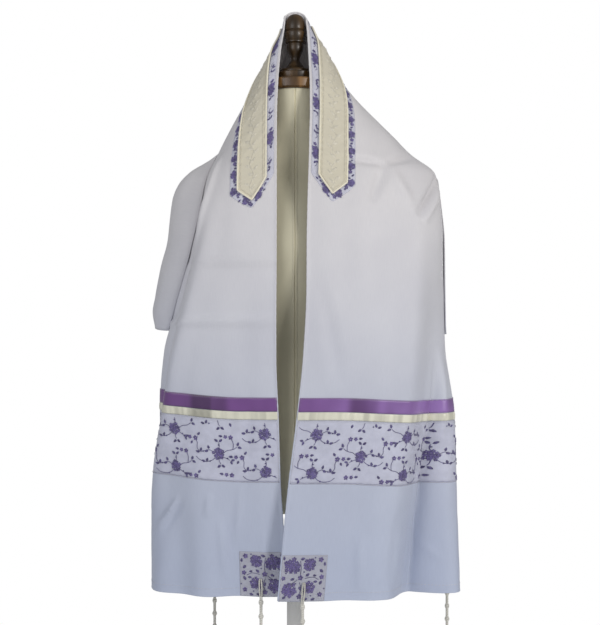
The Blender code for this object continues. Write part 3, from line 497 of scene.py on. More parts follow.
FRONT = {side: curves(FRONT_COLUMNS, rows) for side, rows in FRONT_ROWS.items()}
BACK = curves(BACK_COLUMNS, BACK_ROWS)
BACK_SIDE = {side: curves(("z", "out"), rows)["out"] for side, rows in BACK_SIDE_ROWS.items()}
SWEEP = np.linspace(0, math.pi / 2, 56)


def smooth_step(share):
    """0 up to 0, 1 from 1 on, and a soft rise between."""
    share = np.clip(share, 0, 1)
    return share * share * (3 - 2 * share)


def unit(v):
    """Each vector at length 1."""
    return v / np.maximum(np.linalg.norm(v, axis=-1, keepdims=True), 1e-12)


def run_along(path):
    """The distance along a path to each of its points."""
    return np.concatenate([[0], np.cumsum(np.linalg.norm(np.diff(path, axis=0), axis=1))])


def points_at(at, run, path):
    """Points of a path at distances along it."""
    return np.stack([np.interp(at, run, path[:, k]) for k in range(3)], axis=-1)


def quarter(x0, y0, x1, y1, square):
    """Plan points that leave (x0, y0) sideways and reach (x1, y1) going straight back."""
    power = 2 / np.asarray(square)[..., None]
    along = np.sin(SWEEP) ** power
    back = 1 - np.cos(SWEEP) ** power
    x = x0[..., None] + (x1 - x0)[..., None] * along
    y = y0[..., None] + (y1 - y0)[..., None] * back
    return x, y


def walk(x, y, distance):
    """The point of each plan line (one a row) at that distance along it."""
    steps = np.hypot(np.diff(x, axis=1), np.diff(y, axis=1))
    length = np.concatenate([np.zeros((len(x), 1)), np.cumsum(steps, axis=1)], axis=1)
    distance = np.clip(distance, 0, length[:, -1])
    i = np.clip((length <= distance[:, None]).sum(axis=1) - 1, 0, x.shape[1] - 2)
    row = np.arange(len(x))
    share = (distance - length[row, i]) / np.maximum(steps[row, i], 1e-9)
    px = x[row, i] + share * (x[row, i + 1] - x[row, i])
    py = y[row, i] + share * (y[row, i + 1] - y[row, i])
    return px, py


def fold_lift(folds, t, z):
    """How far the folds of a table move the cloth outwards at (t, z)."""
    lift = np.zeros_like(t)
    for row in folds:
        f = dict(zip(FOLD_COLUMNS, row))
        share = (z - f["z_head"]) / (f["z_foot"] - f["z_head"])
        middle = f["t_head"] + (f["t_foot"] - f["t_head"]) * share
        across = np.clip(np.abs(t - middle) / (f["half"] * 2), 0, 1)
        out = f["out_head"] + (f["out_foot"] - f["out_head"]) * np.clip(share, 0, 1)
        out = out * smooth_step(share / FOLD_FADE)
        lift += np.where(share > 0, out, 0) * np.cos(across * math.pi / 2) ** 2
    return lift


def crease_lift(creases, t, z):
    """How far the creases of a table move the cloth outwards at (t, z)."""
    lift = np.zeros_like(t)
    for row in creases:
        c = dict(zip(CREASE_COLUMNS, row))
        run_t, run_z = c["t_b"] - c["t_a"], c["z_b"] - c["z_a"]
        length = math.hypot(run_t, run_z)
        along = ((t - c["t_a"]) * run_t + (z - c["z_a"]) * run_z) / length**2
        off = ((t - c["t_a"]) * run_z - (z - c["z_a"]) * run_t) / length
        ends = np.sin(np.clip(along, 0, 1) * math.pi) ** CREASE_ENDS
        lift += CREASE_DEPTH * c["out"] * ends * np.exp(-((off / c["half"]) ** 2))
    return lift


def ripple(t, z):
    """How far the cloth's small unevenness moves it outwards at (t, z)."""
    lift = 0.0
    for row in RIPPLES:
        r = dict(zip(RIPPLE_COLUMNS, row))
        one = np.sin(r["t_a"] * t + r["z_a"] * z + r["start_a"])
        other = np.sin(r["t_b"] * t + r["z_b"] * z + r["start_b"])
        lift = lift + r["height"] * (one * other)
    return lift


def edge_lift(t):
    """The rolled edge along the neck side."""
    return ROLL_LIFT * np.exp(-(((t - ROLL_WIDTH) / ROLL_WIDTH) ** 2))


def hem_lift(level):
    """The turned hem, with its line of stitches pulled in."""
    turned = HEM_LIFT * (1 - smooth_step((level - HEM_WIDTH + HEM_SOFT) / HEM_SOFT))
    roll = HEM_ROLL * ROLL_LIFT * np.exp(-(((level - HEM_ROLL_AT) / HEM_ROLL_WIDTH) ** 2))
    return turned + roll


def panel_plan(side, z):
    """Plan lines of a front's panel at each height, from its front edge to the side fold."""
    c = FRONT[side]
    return quarter(c["inner"](z), c["front"](z), c["fold"](z), c["side"](z), c["square"](z))


def plan_length(x, y):
    """The length of each plan line."""
    return np.hypot(np.diff(x, axis=1), np.diff(y, axis=1)).sum(axis=1)


def front_base(side, t, z):
    """Points of a front before its folds; t is the plan distance from the front edge."""
    c = FRONT[side]
    x, y = panel_plan(side, z)
    zero = np.zeros_like(z)
    back_x, back_y = quarter(zero, BACK["tail"](z), c["fold"](z), c["side"](z), zero + BACK_SQUARE)
    x = np.concatenate([x, back_x[:, -2::-1]], axis=1)
    y = np.concatenate([y, back_y[:, -2::-1]], axis=1)
    x, y = walk(x, y, t)
    return np.stack([SIDES[side] * x, y, z], axis=-1)


def ridge_curve(side):
    """Curves along the shoulder ridge: its height by plan distance, and its last distance."""
    z = np.linspace(SHOULDER_Z[side], NECK_Z, 60)
    t = plan_length(*panel_plan(side, z))
    t[-1] = 0.0
    order = np.argsort(t)
    return Curve(t[order], z[order]), float(t[0])


RIDGES = {side: ridge_curve(side) for side in SIDES}
RIDGE_Z = {side: found[0] for side, found in RIDGES.items()}
SHOULDER_T = {side: found[1] for side, found in RIDGES.items()}


def front_top(side, t):
    """The height at which each thread of a front ends: the ridge, or the tail's hidden top."""
    shoulder = SHOULDER_T[side]
    drop = smooth_step((t - shoulder) / TAIL_RUN)
    tail_top = SHOULDER_Z[side] + (TAIL_TOP_Z - SHOULDER_Z[side]) * drop
    return np.where(t <= shoulder, RIDGE_Z[side](t), tail_top)


def mid_back_height():
    """The height of the middle of the back by its distance from the neck edge."""
    z = np.linspace(NECK_Z, LOWEST_MIDDLE, 200)
    y = BACK["back"](z)
    run = np.concatenate([[0], np.cumsum(np.hypot(np.diff(y), np.diff(z)))])
    return Curve(run, z)


MID_Z = mid_back_height()


def swag_edge_z(side, t):
    """The height of the back's side edge at each distance below the neck edge."""
    shoulder = SHOULDER_T[side]
    share = np.clip((t - shoulder) / (CUT_WIDTH - shoulder), 0, 1)
    hanging = SHOULDER_Z[side] + (SWAG_FOOT_Z[side] - SHOULDER_Z[side]) * share
    return np.where(t <= shoulder, RIDGE_Z[side](t), hanging)


def swag_half(side, share, z):
    """Points of one half of the back at that share of the way from its side to the middle."""
    c = FRONT[side]
    below = np.clip((SHOULDER_Z[side] - z) / PARTING, 0, 1)
    start_x = c["fold"](z) + (CLOTH + LAID_GAP) * below
    start_y = c["side"](z) + LAPPED_BEHIND * below
    out_x = np.where(below > 0, np.maximum(BACK_SIDE[side](z), start_x + LEAST_OUT), start_x)
    out_y = np.where(below > 0, c["side"](z) + (BACK_SIDE_DEPTH - c["side"](z)) * below, start_y)
    out_y = np.maximum(out_y, start_y)
    zero = np.zeros_like(z)
    x1, y1 = quarter(start_x, start_y, out_x, out_y, zero + EDGE_SQUARE)
    x2, y2 = quarter(zero, BACK["back"](z), out_x, out_y, zero + BACK_SQUARE)
    x = np.concatenate([x1, x2[:, -2::-1]], axis=1)
    y = np.concatenate([y1, y2[:, -2::-1]], axis=1)
    px, py = walk(x, y, share * plan_length(x, y))
    return np.stack([SIDES[side] * px, py, z], axis=-1)


def swag_base(q, t):
    """Points of the back before its folds; q goes from the left side, 0, to the right, 1."""
    left = q <= 0.5
    share = np.where(left, q, 1 - q) * 2
    level = np.sin(share * math.pi / 2) ** LEVEL_POWER
    points = np.zeros((len(q), 3))
    for side, mask in (("left", left), ("right", ~left)):
        edge, middle = swag_edge_z(side, t[mask]), MID_Z(t[mask])
        z = edge + (middle - edge) * level[mask]
        points[mask] = swag_half(side, share[mask], z)
    return points


def grid_normals(points, sign):
    """Normals of a grid of points, from its neighbours."""
    across, along = np.gradient(points, axis=1), np.gradient(points, axis=0)
    return unit(np.cross(across, along)) * sign


NEAR_EDGE = (0.0, 0.0007, 0.0014, 0.0022, 0.0032, 0.0055)
FINE_STEP, FINE_REACH = 0.0042, 0.282
HEM_LEVELS = (0.0, 0.0008, 0.0016, 0.0040, 0.0090, 0.0127, 0.0142, 0.0170)
LEVEL_STEP, LEVELS_TOP = 0.0052, 0.36
UPPER_ROWS, UPPER_CROWDING = 98, 1.25
BACK_ACROSS = 111
COLUMNS = np.concatenate([NEAR_EDGE, np.arange(0.0095, FINE_REACH, FINE_STEP)])
FRONT_T = np.concatenate([COLUMNS, np.linspace(FINE_REACH, FRONT_REACH, 27)[1:]])
BACK_T = np.concatenate([COLUMNS, np.linspace(FINE_REACH, CUT_WIDTH, 33)[1:]])
LEVELS = np.concatenate([HEM_LEVELS, np.arange(0.0215, LEVELS_TOP, LEVEL_STEP), [LEVELS_TOP]])
# The turn over the shoulder ridge: rows on each side of it, and how wide it is rounded.
TURN_ROWS, STILL_BELOW_TOP = 30, 0.05
ROUND_WIDTH, ROUND_REACH, ROUND_SAMPLES = 0.0070, 0.0160, 11
# Along the ridge: how many threads are left as they are, the rows eased, and how often.
EASED_FROM, EASED_ROWS, EASE_PASSES = 8, 14, 5
# Over the knob: how far the hooked edge rises, its half width, and where the rise starts.
HOOK_RISE, HOOK_HALF, HOOK_FROM_Z = 0.0165, 0.0188, 1.222


def front_heights(side):
    """The height of every point of a front's grid: level rows, then rows up to the top."""
    low = np.repeat((HEM_Z + LEVELS)[:, None], len(FRONT_T), 1)
    share = 1 - (1 - np.linspace(0, 1, UPPER_ROWS + 1)[1:]) ** UPPER_CROWDING
    start = HEM_Z + LEVELS_TOP
    return np.concatenate([low, start + share[:, None] * (front_top(side, FRONT_T) - start)])


def round_over(path, at):
    """A thread's path with its turn at one point rounded."""
    run = run_along(path)
    near = np.abs(run - run[at])
    width = ROUND_WIDTH * smooth_step(1 - near / ROUND_REACH)
    offsets = np.linspace(-1, 1, ROUND_SAMPLES)
    weights = np.cos(offsets * math.pi / 2) ** 2
    spots = run[:, None] + width[:, None] * offsets
    rounded = [np.interp(spots, run, path[:, k]) @ weights / weights.sum() for k in range(3)]
    return np.stack(rounded, axis=-1)


def ease_across(block, weights):
    """Draws each thread's points towards its neighbours', by one weight for each row."""
    for _ in range(EASE_PASSES):
        pull = (block[:, :-2] + block[:, 2:]) / 2 - block[:, 1:-1]
        block[:, 1:-1] += pull * weights[:, None, None] / 2


def hook_up(points):
    """Lifts the cloth round the knob, so that its edge arches over the knob's top."""
    arch = np.sqrt(np.clip(1 - (points[..., 0] / HOOK_HALF) ** 2, 0, 1))
    height = smooth_step((points[..., 2] - HOOK_FROM_Z) / (NECK_Z - HOOK_FROM_Z))
    points[..., 2] += HOOK_RISE * arch * height


@lru_cache(maxsize=None)
def shawl_grids():
    """The shawl's outer face: its two fronts, rows by columns, and its back."""
    grids = {}
    for side, sign in SIDES.items():
        z = front_heights(side)
        t = np.repeat(FRONT_T[None], len(z), 0)
        base = front_base(side, t.ravel(), z.ravel()).reshape(*z.shape, 3)
        lift = fold_lift(FRONT_FOLDS[side], t, z) + crease_lift(CREASES[side], t, z)
        still = smooth_step((front_top(side, t) - z) / STILL_BELOW_TOP)
        lift += ripple(t * sign, z) * still + edge_lift(t) + hem_lift(z - HEM_Z)
        grids[side] = base + grid_normals(base, sign) * lift[..., None]
    q, t = np.meshgrid(np.linspace(0, 1, BACK_ACROSS), BACK_T)
    base = swag_base(q.ravel(), t.ravel()).reshape(*q.shape, 3)
    fade = np.clip(np.minimum(q, 1 - q) / BACK_FOLD_FADE, 0, 1)
    lift = fold_lift(BACK_FOLDS, q, t) * fade + ripple(q * 0.5, t) * fade
    lift += edge_lift(t) + hem_lift(CUT_WIDTH - t)
    back = base + grid_normals(base, 1) * lift[..., None]
    for side in SIDES:
        near = slice(TURN_ROWS)
        if side == "right":
            near = slice(BACK_ACROSS - 1, BACK_ACROSS - 1 - TURN_ROWS, -1)
        for c in np.flatnonzero(BACK_T <= SHOULDER_T[side]):
            front = grids[side][-TURN_ROWS:, c]
            front[-1] = (front[-1] + back[c, near][0]) / 2
            path = round_over(np.concatenate([front, back[c, near][1:]]), TURN_ROWS - 1)
            grids[side][-TURN_ROWS:, c] = path[:TURN_ROWS]
            back[c, near] = path[TURN_ROWS - 1:]
        threads = slice(EASED_FROM, int(np.sum(BACK_T <= SHOULDER_T[side])))
        weights = smooth_step(np.linspace(0, 1, EASED_ROWS))
        ease_across(grids[side][-EASED_ROWS:, threads], weights)
        ease_across(back[threads, near].transpose(1, 0, 2)[:EASED_ROWS], weights[::-1])
    grids["back"] = back
    for grid in grids.values():
        hook_up(grid)
    return grids


def spread(values, table):
    """Fractional places of the values in a rising table."""
    return np.interp(values, table, np.arange(len(table)))


def between(grid, row, column):
    """Points of a grid at fractional rows and columns."""
    r = np.clip(row.astype(int), 0, grid.shape[0] - 2)
    c = np.clip(column.astype(int), 0, grid.shape[1] - 2)
    u, v = (row - r)[..., None], (column - c)[..., None]
    low = grid[r, c] * (1 - v) + grid[r, c + 1] * v
    high = grid[r + 1, c] * (1 - v) + grid[r + 1, c + 1] * v
    return low * (1 - u) + high * u


@lru_cache(maxsize=None)
def level_part(side):
    """(points, normals) of a front's level rows."""
    points = shawl_grids()[side][: len(LEVELS) + 2]
    normals = grid_normals(points, SIDES[side])
    return points, normals


def slant(side, t, level):
    """How far a front's cloth is pulled up or down round its fold, none at the hem."""
    up, away, over_hem = (
        smooth_step((value - start) / run)
        for value, (start, run) in ((t, SLANT_UP), (t, SLANT_AWAY), (level, SLANT_OVER_HEM))
    )
    return SLANT[side] * (up * (1 - away)) * over_hem


def lying_over(part, row, column, out):
    """Points that lie `out` over a part of the cloth, at fractional rows and columns."""
    points, normals = part
    here = unit(between(normals, row, column))
    return between(points, row, column) + here * np.asarray(out)[..., None]


def on_front(side, t, level, out):
    """Points that lie `out` over a front, at threads t and heights above the hem."""
    level = level + slant(side, np.asarray(t), np.asarray(level))
    return lying_over(level_part(side), spread(level, LEVELS), spread(t, FRONT_T), out)


STRIP_STEP, STRIP_REACH, STRIP_COLUMNS = 0.0025, 0.56, 28
STRIP_W = np.arange(-STRIP_REACH, STRIP_REACH, STRIP_STEP)
STRIP_T = BACK_T[:STRIP_COLUMNS]


def thread_path(column):
    """One thread from the left hem over the nape to the right one, its run, and the nape's."""
    grids = shawl_grids()
    left, right = grids["left"][:, column], grids["right"][::-1, column]
    path = np.concatenate([left, grids["back"][column, 1:-1], right])
    run = run_along(path)
    return path, run, run[len(left) - 1 + BACK_ACROSS // 2]


@lru_cache(maxsize=None)
def strip_part():
    """(points, normals) of the strip along the neck edge, by distance from the nape and thread."""
    columns = []
    for c in range(STRIP_COLUMNS):
        path, run, nape = thread_path(c)
        columns.append(points_at(STRIP_W, run - nape, path))
    points = np.stack(columns, axis=1)
    return points, grid_normals(points, -1)


def on_strip(w, t, out):
    """Points that lie `out` over the neck strip, w from the nape (left is negative)."""
    return lying_over(strip_part(), spread(w, STRIP_W), spread(t, STRIP_T), out)


def tip_distance(side, z):
    """How far from the nape the strip's middle thread reaches a height."""
    points = strip_part()[0]
    middle = int(np.argmin(np.abs(STRIP_T - sum(BAND_T) / 2)))
    half = STRIP_W < 0 if side == "left" else STRIP_W > 0
    heights, w = points[half, middle, 2], np.abs(STRIP_W[half])
    order = np.argsort(heights)
    return float(np.interp(z, heights[order], w[order]))


def grid_quads(rows, columns):
    """The faces of a grid."""
    first = (np.arange(rows - 1)[:, None] * columns + np.arange(columns - 1)).ravel()
    return np.stack([first, first + 1, first + columns + 1, first + columns], axis=1)


def facing(points, faces, normals):
    """The faces, turned to face the way the normals point."""
    a, b, c = (points[faces[:, k]] for k in (0, 1, 2))
    score = np.einsum("ij,ij->i", np.cross(b - a, c - a), normals[faces[:, 0]])
    return faces if score.sum() > 0 else faces[:, ::-1]


class Stock:
    """Vertices and faces of a piece, gathered part by part."""

    def __init__(self):
        self.points, self.faces, self.uvs, self.slots, self.count = [], [], [], [], 0

    def add(self, points, faces, uv):
        """Adds a part, with a UV for each point."""
        self.faces += (np.asarray(faces) + self.count).tolist()
        self.uvs.append(uv.reshape(-1, 2))
        self.slots += [0] * len(faces)
        self.points.append(points)
        self.count += len(points)

    def add_face(self, corners):
        """Adds one face over points that are already there."""
        self.faces.append(corners)
        self.slots.append(0)

    def add_sheet(self, grid, normals, *uv):
        """Adds an open sheet, facing out."""
        faces = grid_quads(*grid.shape[:2])
        flat = grid.reshape(-1, 3)
        self.add(flat, facing(flat, faces, normals.reshape(-1, 3)), np.stack(uv, axis=-1))

    def build(self, name, looks, merge=0.00002):
        """The piece as an object at the origin."""
        mesh = bpy.data.meshes.new(name)
        mesh.from_pydata(np.concatenate(self.points).tolist(), [], self.faces)
        for look in looks:
            mesh.materials.append(look)
        mesh.polygons.foreach_set("material_index", self.slots)
        corners = np.empty(len(mesh.loops), int)
        mesh.loops.foreach_get("vertex_index", corners)
        layer = mesh.uv_layers.new(name="UVMap")
        layer.data.foreach_set("uv", np.concatenate(self.uvs)[corners].ravel())
        if merge:
            work = bmesh.new()
            work.from_mesh(mesh)
            bmesh.ops.remove_doubles(work, verts=work.verts, dist=merge)
            work.to_mesh(mesh)
            work.free()
        mesh.shade_smooth()
        thing = bpy.data.objects.new(name, mesh)
        bpy.context.scene.collection.objects.link(thing)
        return thing


def select_only(thing):
    """Makes one object active and selected."""
    for other in bpy.context.view_layer.objects:
        other.select_set(False)
    thing.select_set(True)
    bpy.context.view_layer.objects.active = thing


def thicken(thing, thickness, outward):
    """Gives a sheet its thickness, inwards or outwards of its face."""
    solid = thing.modifiers.new("cloth", "SOLIDIFY")
    solid.thickness = thickness
    solid.offset = 1 if outward else -1
    select_only(thing)
    bpy.ops.object.modifier_apply(modifier=solid.name)


ANY_WAY = (0.31, 0.87, 0.39)        # a direction that no path here starts in


def tube(path, radius, sides):
    """(points, faces, uv, caps) of a tube along a path; radius may vary by ring and side."""
    path, radius = np.asarray(path, float), np.asarray(radius, float)
    ahead = unit(np.gradient(path, axis=0))
    side = np.zeros_like(path)
    start = np.cross(ahead[0], ANY_WAY)
    side[0] = start / np.linalg.norm(start)
    for k in range(1, len(path)):
        side[k] = unit(side[k - 1] - ahead[k] * np.dot(side[k - 1], ahead[k]))
    other = np.cross(ahead, side)
    turn = np.linspace(0, FULL_TURN, sides, endpoint=False)
    if radius.ndim == 1:
        radius = radius[:, None]
    size = np.broadcast_to(radius, (len(path), sides))
    cosine, sine = np.cos(turn)[None, :, None], np.sin(turn)[None, :, None]
    ring = side[:, None] * cosine + other[:, None] * sine
    points = (path[:, None] + ring * size[..., None]).reshape(-1, 3)
    faces = []
    for r in range(len(path) - 1):
        for k in range(sides):
            a, b = r * sides + k, r * sides + (k + 1) % sides
            faces.append((a, b, b + sides, a + sides))
    uv = np.stack(np.broadcast_arrays(turn[None] / FULL_TURN, run_along(path)[:, None]), axis=-1)
    first_cap = tuple(range(sides - 1, -1, -1))
    last_cap = tuple(range(len(points) - sides, len(points)))
    return points, faces, uv, (first_cap, last_cap)


def add_tube(stock, path, radius, sides=8):
    """Adds a capped tube to a piece."""
    points, faces, uv, caps = tube(path, radius, sides)
    stock.add(points, faces, uv)
    base = stock.count - len(points)
    for cap in caps:
        stock.add_face([base + k for k in cap])


class Tap:
    """An output of a material's node, for shader maths as plain expressions."""

    def __init__(self, look, socket):
        self.look, self.socket = look, socket

    def math(self, operation, *others):
        """A Math node of this output and others."""
        values = dict(enumerate((self, *others)))
        return self.look.node("ShaderNodeMath", {"operation": operation}, values)

    def __add__(self, other):
        return self.math("ADD", other)

    __radd__ = __add__

    def __sub__(self, other):
        return self.math("SUBTRACT", other)

    def __rsub__(self, other):
        return (self * -1.0) + other

    def __mul__(self, other):
        return self.math("MULTIPLY", other)

    __rmul__ = __mul__

    def sine(self):
        """The sine of it."""
        return self.math("SINE")

    def size(self):
        """It without its sign."""
        return self.math("ABSOLUTE")

    def soft(self, low, high):
        """0 below low, 1 above high, soft between."""
        settings = {"interpolation_type": "SMOOTHSTEP"}
        return self.look.node("ShaderNodeMapRange", settings, {0: self, 1: low, 2: high})

    def within(self, rise, fall):
        """1 between two soft steps, 0 outside them."""
        return self.soft(*rise) * (1.0 - self.soft(*fall))


class Look:
    """A material or a sky, and the nodes that make it."""

    def __init__(self, name, sky=False):
        self.material = (bpy.data.worlds if sky else bpy.data.materials).new(name)
        self.material.use_nodes = True
        self.tree = self.material.node_tree
        self.shader = self.tree.nodes["Background" if sky else "Principled BSDF"]

    def put(self, socket, value):
        """Sets a socket to a value, or links it."""
        if isinstance(value, Tap):
            self.tree.links.new(value.socket, socket)
        elif hasattr(socket.default_value, "__len__") and len(socket.default_value) == 4:
            socket.default_value = (*value, 1.0)[:4]
        else:
            socket.default_value = value

    def node(self, kind, settings=None, values=None, output=0):
        """Adds a node: its type, its settings, the values of its sockets, and the output used."""
        made = self.tree.nodes.new(kind)
        for key, value in (settings or {}).items():
            setattr(made, key, value)
        for key, value in (values or {}).items():
            self.put(made.inputs[key], value)
        return Tap(self, made.outputs[output])

    def coords(self):
        """(u, v) of the piece's own UV map, in metres."""
        uv = self.node("ShaderNodeTexCoord", output="UV")
        return uv, *(self.node("ShaderNodeSeparateXYZ", None, {0: uv}, k) for k in (0, 1))

    def place(self):
        """The piece's object coordinates, in metres."""
        return self.node("ShaderNodeTexCoord", output="Object")

    def axis(self, k):
        """One of the object coordinates: 0 across, 1 back, 2 up."""
        return self.node("ShaderNodeSeparateXYZ", None, {0: self.place()}, k)

    def scaled(self, vector, scale):
        """A vector stretched by a scale for each axis."""
        return self.node("ShaderNodeMapping", None, {"Vector": vector, "Scale": scale})

    def noise(self, vector, scale, detail=2.0):
        """Soft noise from 0 to 1."""
        values = {"Vector": vector, "Scale": scale, "Detail": detail}
        return self.node("ShaderNodeTexNoise", None, values)

    def mix(self, share, low, high, blend="MIX"):
        """A colour between two, by a share, or the two blended."""
        settings = {"data_type": "RGBA", "blend_type": blend}
        return self.node("ShaderNodeMix", settings, {0: share, 6: low, 7: high}, 2)

    def bump(self, height, depth, strength=1.0):
        """Relief of that depth in metres for the shader's normal."""
        values = {"Height": height, "Distance": depth, "Strength": strength}
        self.put(self.shader.inputs["Normal"], self.node("ShaderNodeBump", None, values))

    def finish(self, **values):
        """Sets the shader's own sockets; an underscore stands for a space."""
        for key, value in values.items():
            self.put(self.shader.inputs[key.replace("_", " ")], value)
        return self.material


def shade(color, share):
    """A colour made darker or lighter."""
    return tuple(min(1.0, float(c) * share) for c in color)


# Heights and places across, in metres, where a look starts to change and has changed: painted cool
# light towards the hem, painted light towards the ribbons' right, painted shade on a stretch of the
# left ribbons, and painted shade at the torso's middle.
PAINTED_COOL_LIGHT_BELOW, RIBBON_LIT = (0.34, 1.12), (-0.05, 0.20)
RIBBON_PAINTED_SHADE = (-0.172, -0.160), (-0.136, -0.130)
TORSO_PAINTED_SHADE = (0.62, 0.80), (1.00, 1.12)
# Distances between threads or plies.
RIBBON_THREAD, NET_THREAD, CORD_PLY = 0.0008, 0.0009, 0.0028


def satin_cloth(name, color, pitch, painted_cool_light_color=None):
    """Satin-faced cloth: fine threads both ways, slight streaks along the warp, and, when a second
    colour is given, painted cool light that turns it bluer towards the hem.
    """
    look = Look(name)
    # Painted cool light: the cloth's colour goes over to the bluer second colour towards the hem.
    if painted_cool_light_color is not None:
        color = look.mix(look.axis(2).soft(*PAINTED_COOL_LIGHT_BELOW), painted_cool_light_color, color)
    uv, u, v = look.coords()
    warp, weft = (u * (FULL_TURN / pitch)).sine(), (v * (FULL_TURN / pitch)).sine()
    slub = look.noise(look.scaled(uv, (900.0, 60.0, 1.0)), 1.0, 3.0)
    cloud = look.noise(look.scaled(uv, (9.0, 7.0, 1.0)), 1.0, 2.0)
    tone = slub * 0.35 + cloud * 0.65
    tint = look.mix(tone.soft(0.25, 0.75), (0.90, 0.90, 0.92), (1.0, 1.0, 1.0))
    base = look.mix(1.0, color, tint, "MULTIPLY")
    look.bump(warp * 0.5 + weft * 0.35 + slub * 0.9, 0.00012, 0.5)
    return look.finish(
        Base_Color=base, Roughness=0.42, Sheen_Weight=0.35, Sheen_Roughness=0.4,
        Specular_IOR_Level=0.4,
    )


def ribbon_look(name, color, light_color, dark, rough, streak):
    """Satin ribbon: a painted sheen that changes along it, painted light towards its right, painted
    shade on a stretch of the left, and fine cross threads.
    """
    look = Look(name)
    across = look.axis(0)
    uv, u, _ = look.coords()
    # Painted sheen: noise along the ribbon lightens and darkens its colour in stretches.
    painted_sheen = look.noise(look.scaled(uv, (streak, 3.0, 1.0)), 1.0, 1.5)
    threads = (u * (FULL_TURN / RIBBON_THREAD)).sine()
    slub = look.noise(look.scaled(uv, (1200.0, 40.0, 1.0)), 1.0, 2.0)
    # Painted light: the ribbons grow lighter towards the right.
    light = look.mix(across.soft(*RIBBON_LIT), color, light_color)
    base = look.mix(painted_sheen.soft(0.36, 0.60), shade(color, dark), light)
    # Painted shade where the left ribbons turn away from the light.
    base = look.mix(across.within(*RIBBON_PAINTED_SHADE), base, shade(color, dark * 0.72))
    look.bump(threads * 0.4 + slub * 0.8, 0.0001, 0.5)
    return look.finish(
        Base_Color=base, Roughness=(slub * 0.1 + rough), Sheen_Weight=0.25, Sheen_Roughness=0.3,
        Specular_IOR_Level=0.55,
    )


def organza_look(name, color, alpha):
    """Sheer organza: an open net of fine threads."""
    look = Look(name)
    uv, u, v = look.coords()
    threads = FULL_TURN / NET_THREAD
    net = (u * threads).sine().size() + (v * threads).sine().size()
    drift = look.noise(look.scaled(uv, (40.0, 40.0, 1.0)), 1.0, 2.0)
    base = look.mix(drift.soft(0.3, 0.7), shade(color, 0.95), shade(color, 1.04))
    look.bump(net, 0.0001, 0.4)
    return look.finish(
        Base_Color=base, Roughness=0.38, Sheen_Weight=0.3, Alpha=(drift * 0.12 + alpha - 0.06)
    )


def thread_look(name, color, dark=0.7, light=1.3):
    """Satin-stitched thread: short strokes that catch the light."""
    look = Look(name)
    place = look.place()
    tone = look.noise(place, 260.0, 2.0)
    strokes = look.noise(look.scaled(place, (2600.0, 2600.0, 700.0)), 1.0, 1.0)
    base = look.mix(tone.soft(0.35, 0.65), shade(color, dark), shade(color, light))
    look.bump(strokes, 0.0003, 0.6)
    return look.finish(Base_Color=base, Roughness=0.45, Sheen_Weight=0.2)


def cord_look(name, color):
    """Twisted cord: plies that wind along it, with painted shade between them."""
    look = Look(name)
    uv, u, v = look.coords()
    ply = (u * (FULL_TURN * 2) + v * (FULL_TURN / CORD_PLY)).sine()
    fibre = look.noise(look.scaled(uv, (30.0, 900.0, 1.0)), 1.0, 2.0)
    # Painted shade: the cord's colour darkens in the grooves between its plies.
    base = look.mix((ply * 0.5 + 0.5).soft(0.0, 0.8), shade(color, 0.72), color)
    look.bump(ply * 0.8 + fibre * 0.4, 0.0004, 0.7)
    return look.finish(Base_Color=base, Roughness=0.8, Sheen_Weight=0.3)


def cover_look(name, color):
    """The torso's fine jersey cover, with painted shade darkening its middle, where the shawl shades
    it.
    """
    look = Look(name)
    place = look.place()
    knit = look.noise(look.scaled(place, (1500.0, 1500.0, 900.0)), 1.0, 1.0)
    stain = look.noise(place, 9.0, 4.0)
    base = look.mix(stain.soft(0.3, 0.7), shade(color, 0.90), shade(color, 1.05))
    # Painted shade: the cover is darker between the heights where the shawl shades it.
    base = look.mix(look.axis(2).within(*TORSO_PAINTED_SHADE) * 0.6, base, shade(color, 0.62))
    look.bump(knit, 0.0003, 0.5)
    return look.finish(Base_Color=base, Roughness=0.85, Sheen_Weight=0.25, Sheen_Roughness=0.5)


def wood_look(name, color, coat):
    """Stained, varnished wood with drawn-out grain."""
    look = Look(name)
    grain = look.noise(look.scaled(look.place(), (70.0, 70.0, 9.0)), 1.0, 5.0)
    pores = look.noise(look.scaled(look.place(), (900.0, 900.0, 60.0)), 1.0, 2.0)
    base = look.mix(grain.soft(0.35, 0.68), shade(color, 0.45), shade(color, 1.55))
    look.bump(grain * 0.5 + pores * 0.5, 0.0002, 0.5)
    return look.finish(
        Base_Color=base, Roughness=(pores * 0.2 + 0.30), Coat_Weight=coat, Coat_Roughness=0.18
    )


def paint_look(name, color):
    """Painted steel with a slight orange peel."""
    look = Look(name)
    peel = look.noise(look.place(), 420.0, 2.0)
    wear = look.noise(look.place(), 14.0, 4.0)
    base = look.mix(wear.soft(0.35, 0.7), shade(color, 0.93), color)
    look.bump(peel, 0.0002, 0.4)
    return look.finish(Base_Color=base, Roughness=(wear * 0.15 + 0.28), Specular_IOR_Level=0.5)


def look_named(name, make, *values):
    """A material by name, made on first use."""
    return bpy.data.materials.get(name) or make(name, *values)


def declare(thing, slot, *nodes):
    """Rides on the root body and stands for its CAD nodes, which it hides; its finish slot is not used.
    """
    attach(thing, "root")
    if nodes:
        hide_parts(*nodes)
    return thing


LIP_WIDTH, LIP_OFF, LIP_BELLY = 0.009, 0.0006, 0.0012
LIP_FROM, LIP_RUN = 0.004, 0.03
BACK_ROUND = 0.62           # the back's length from one side to the other, for its UV


def side_lip(side, t):
    """Where the back's hanging side edge is turned in behind the front's fold."""
    z = swag_edge_z(side, t)
    fold = plan_length(*panel_plan(side, z))
    point = front_base(side, fold + LIP_WIDTH, z)
    return point + np.array((SIDES[side] * LIP_OFF, 0.0, 0.0))


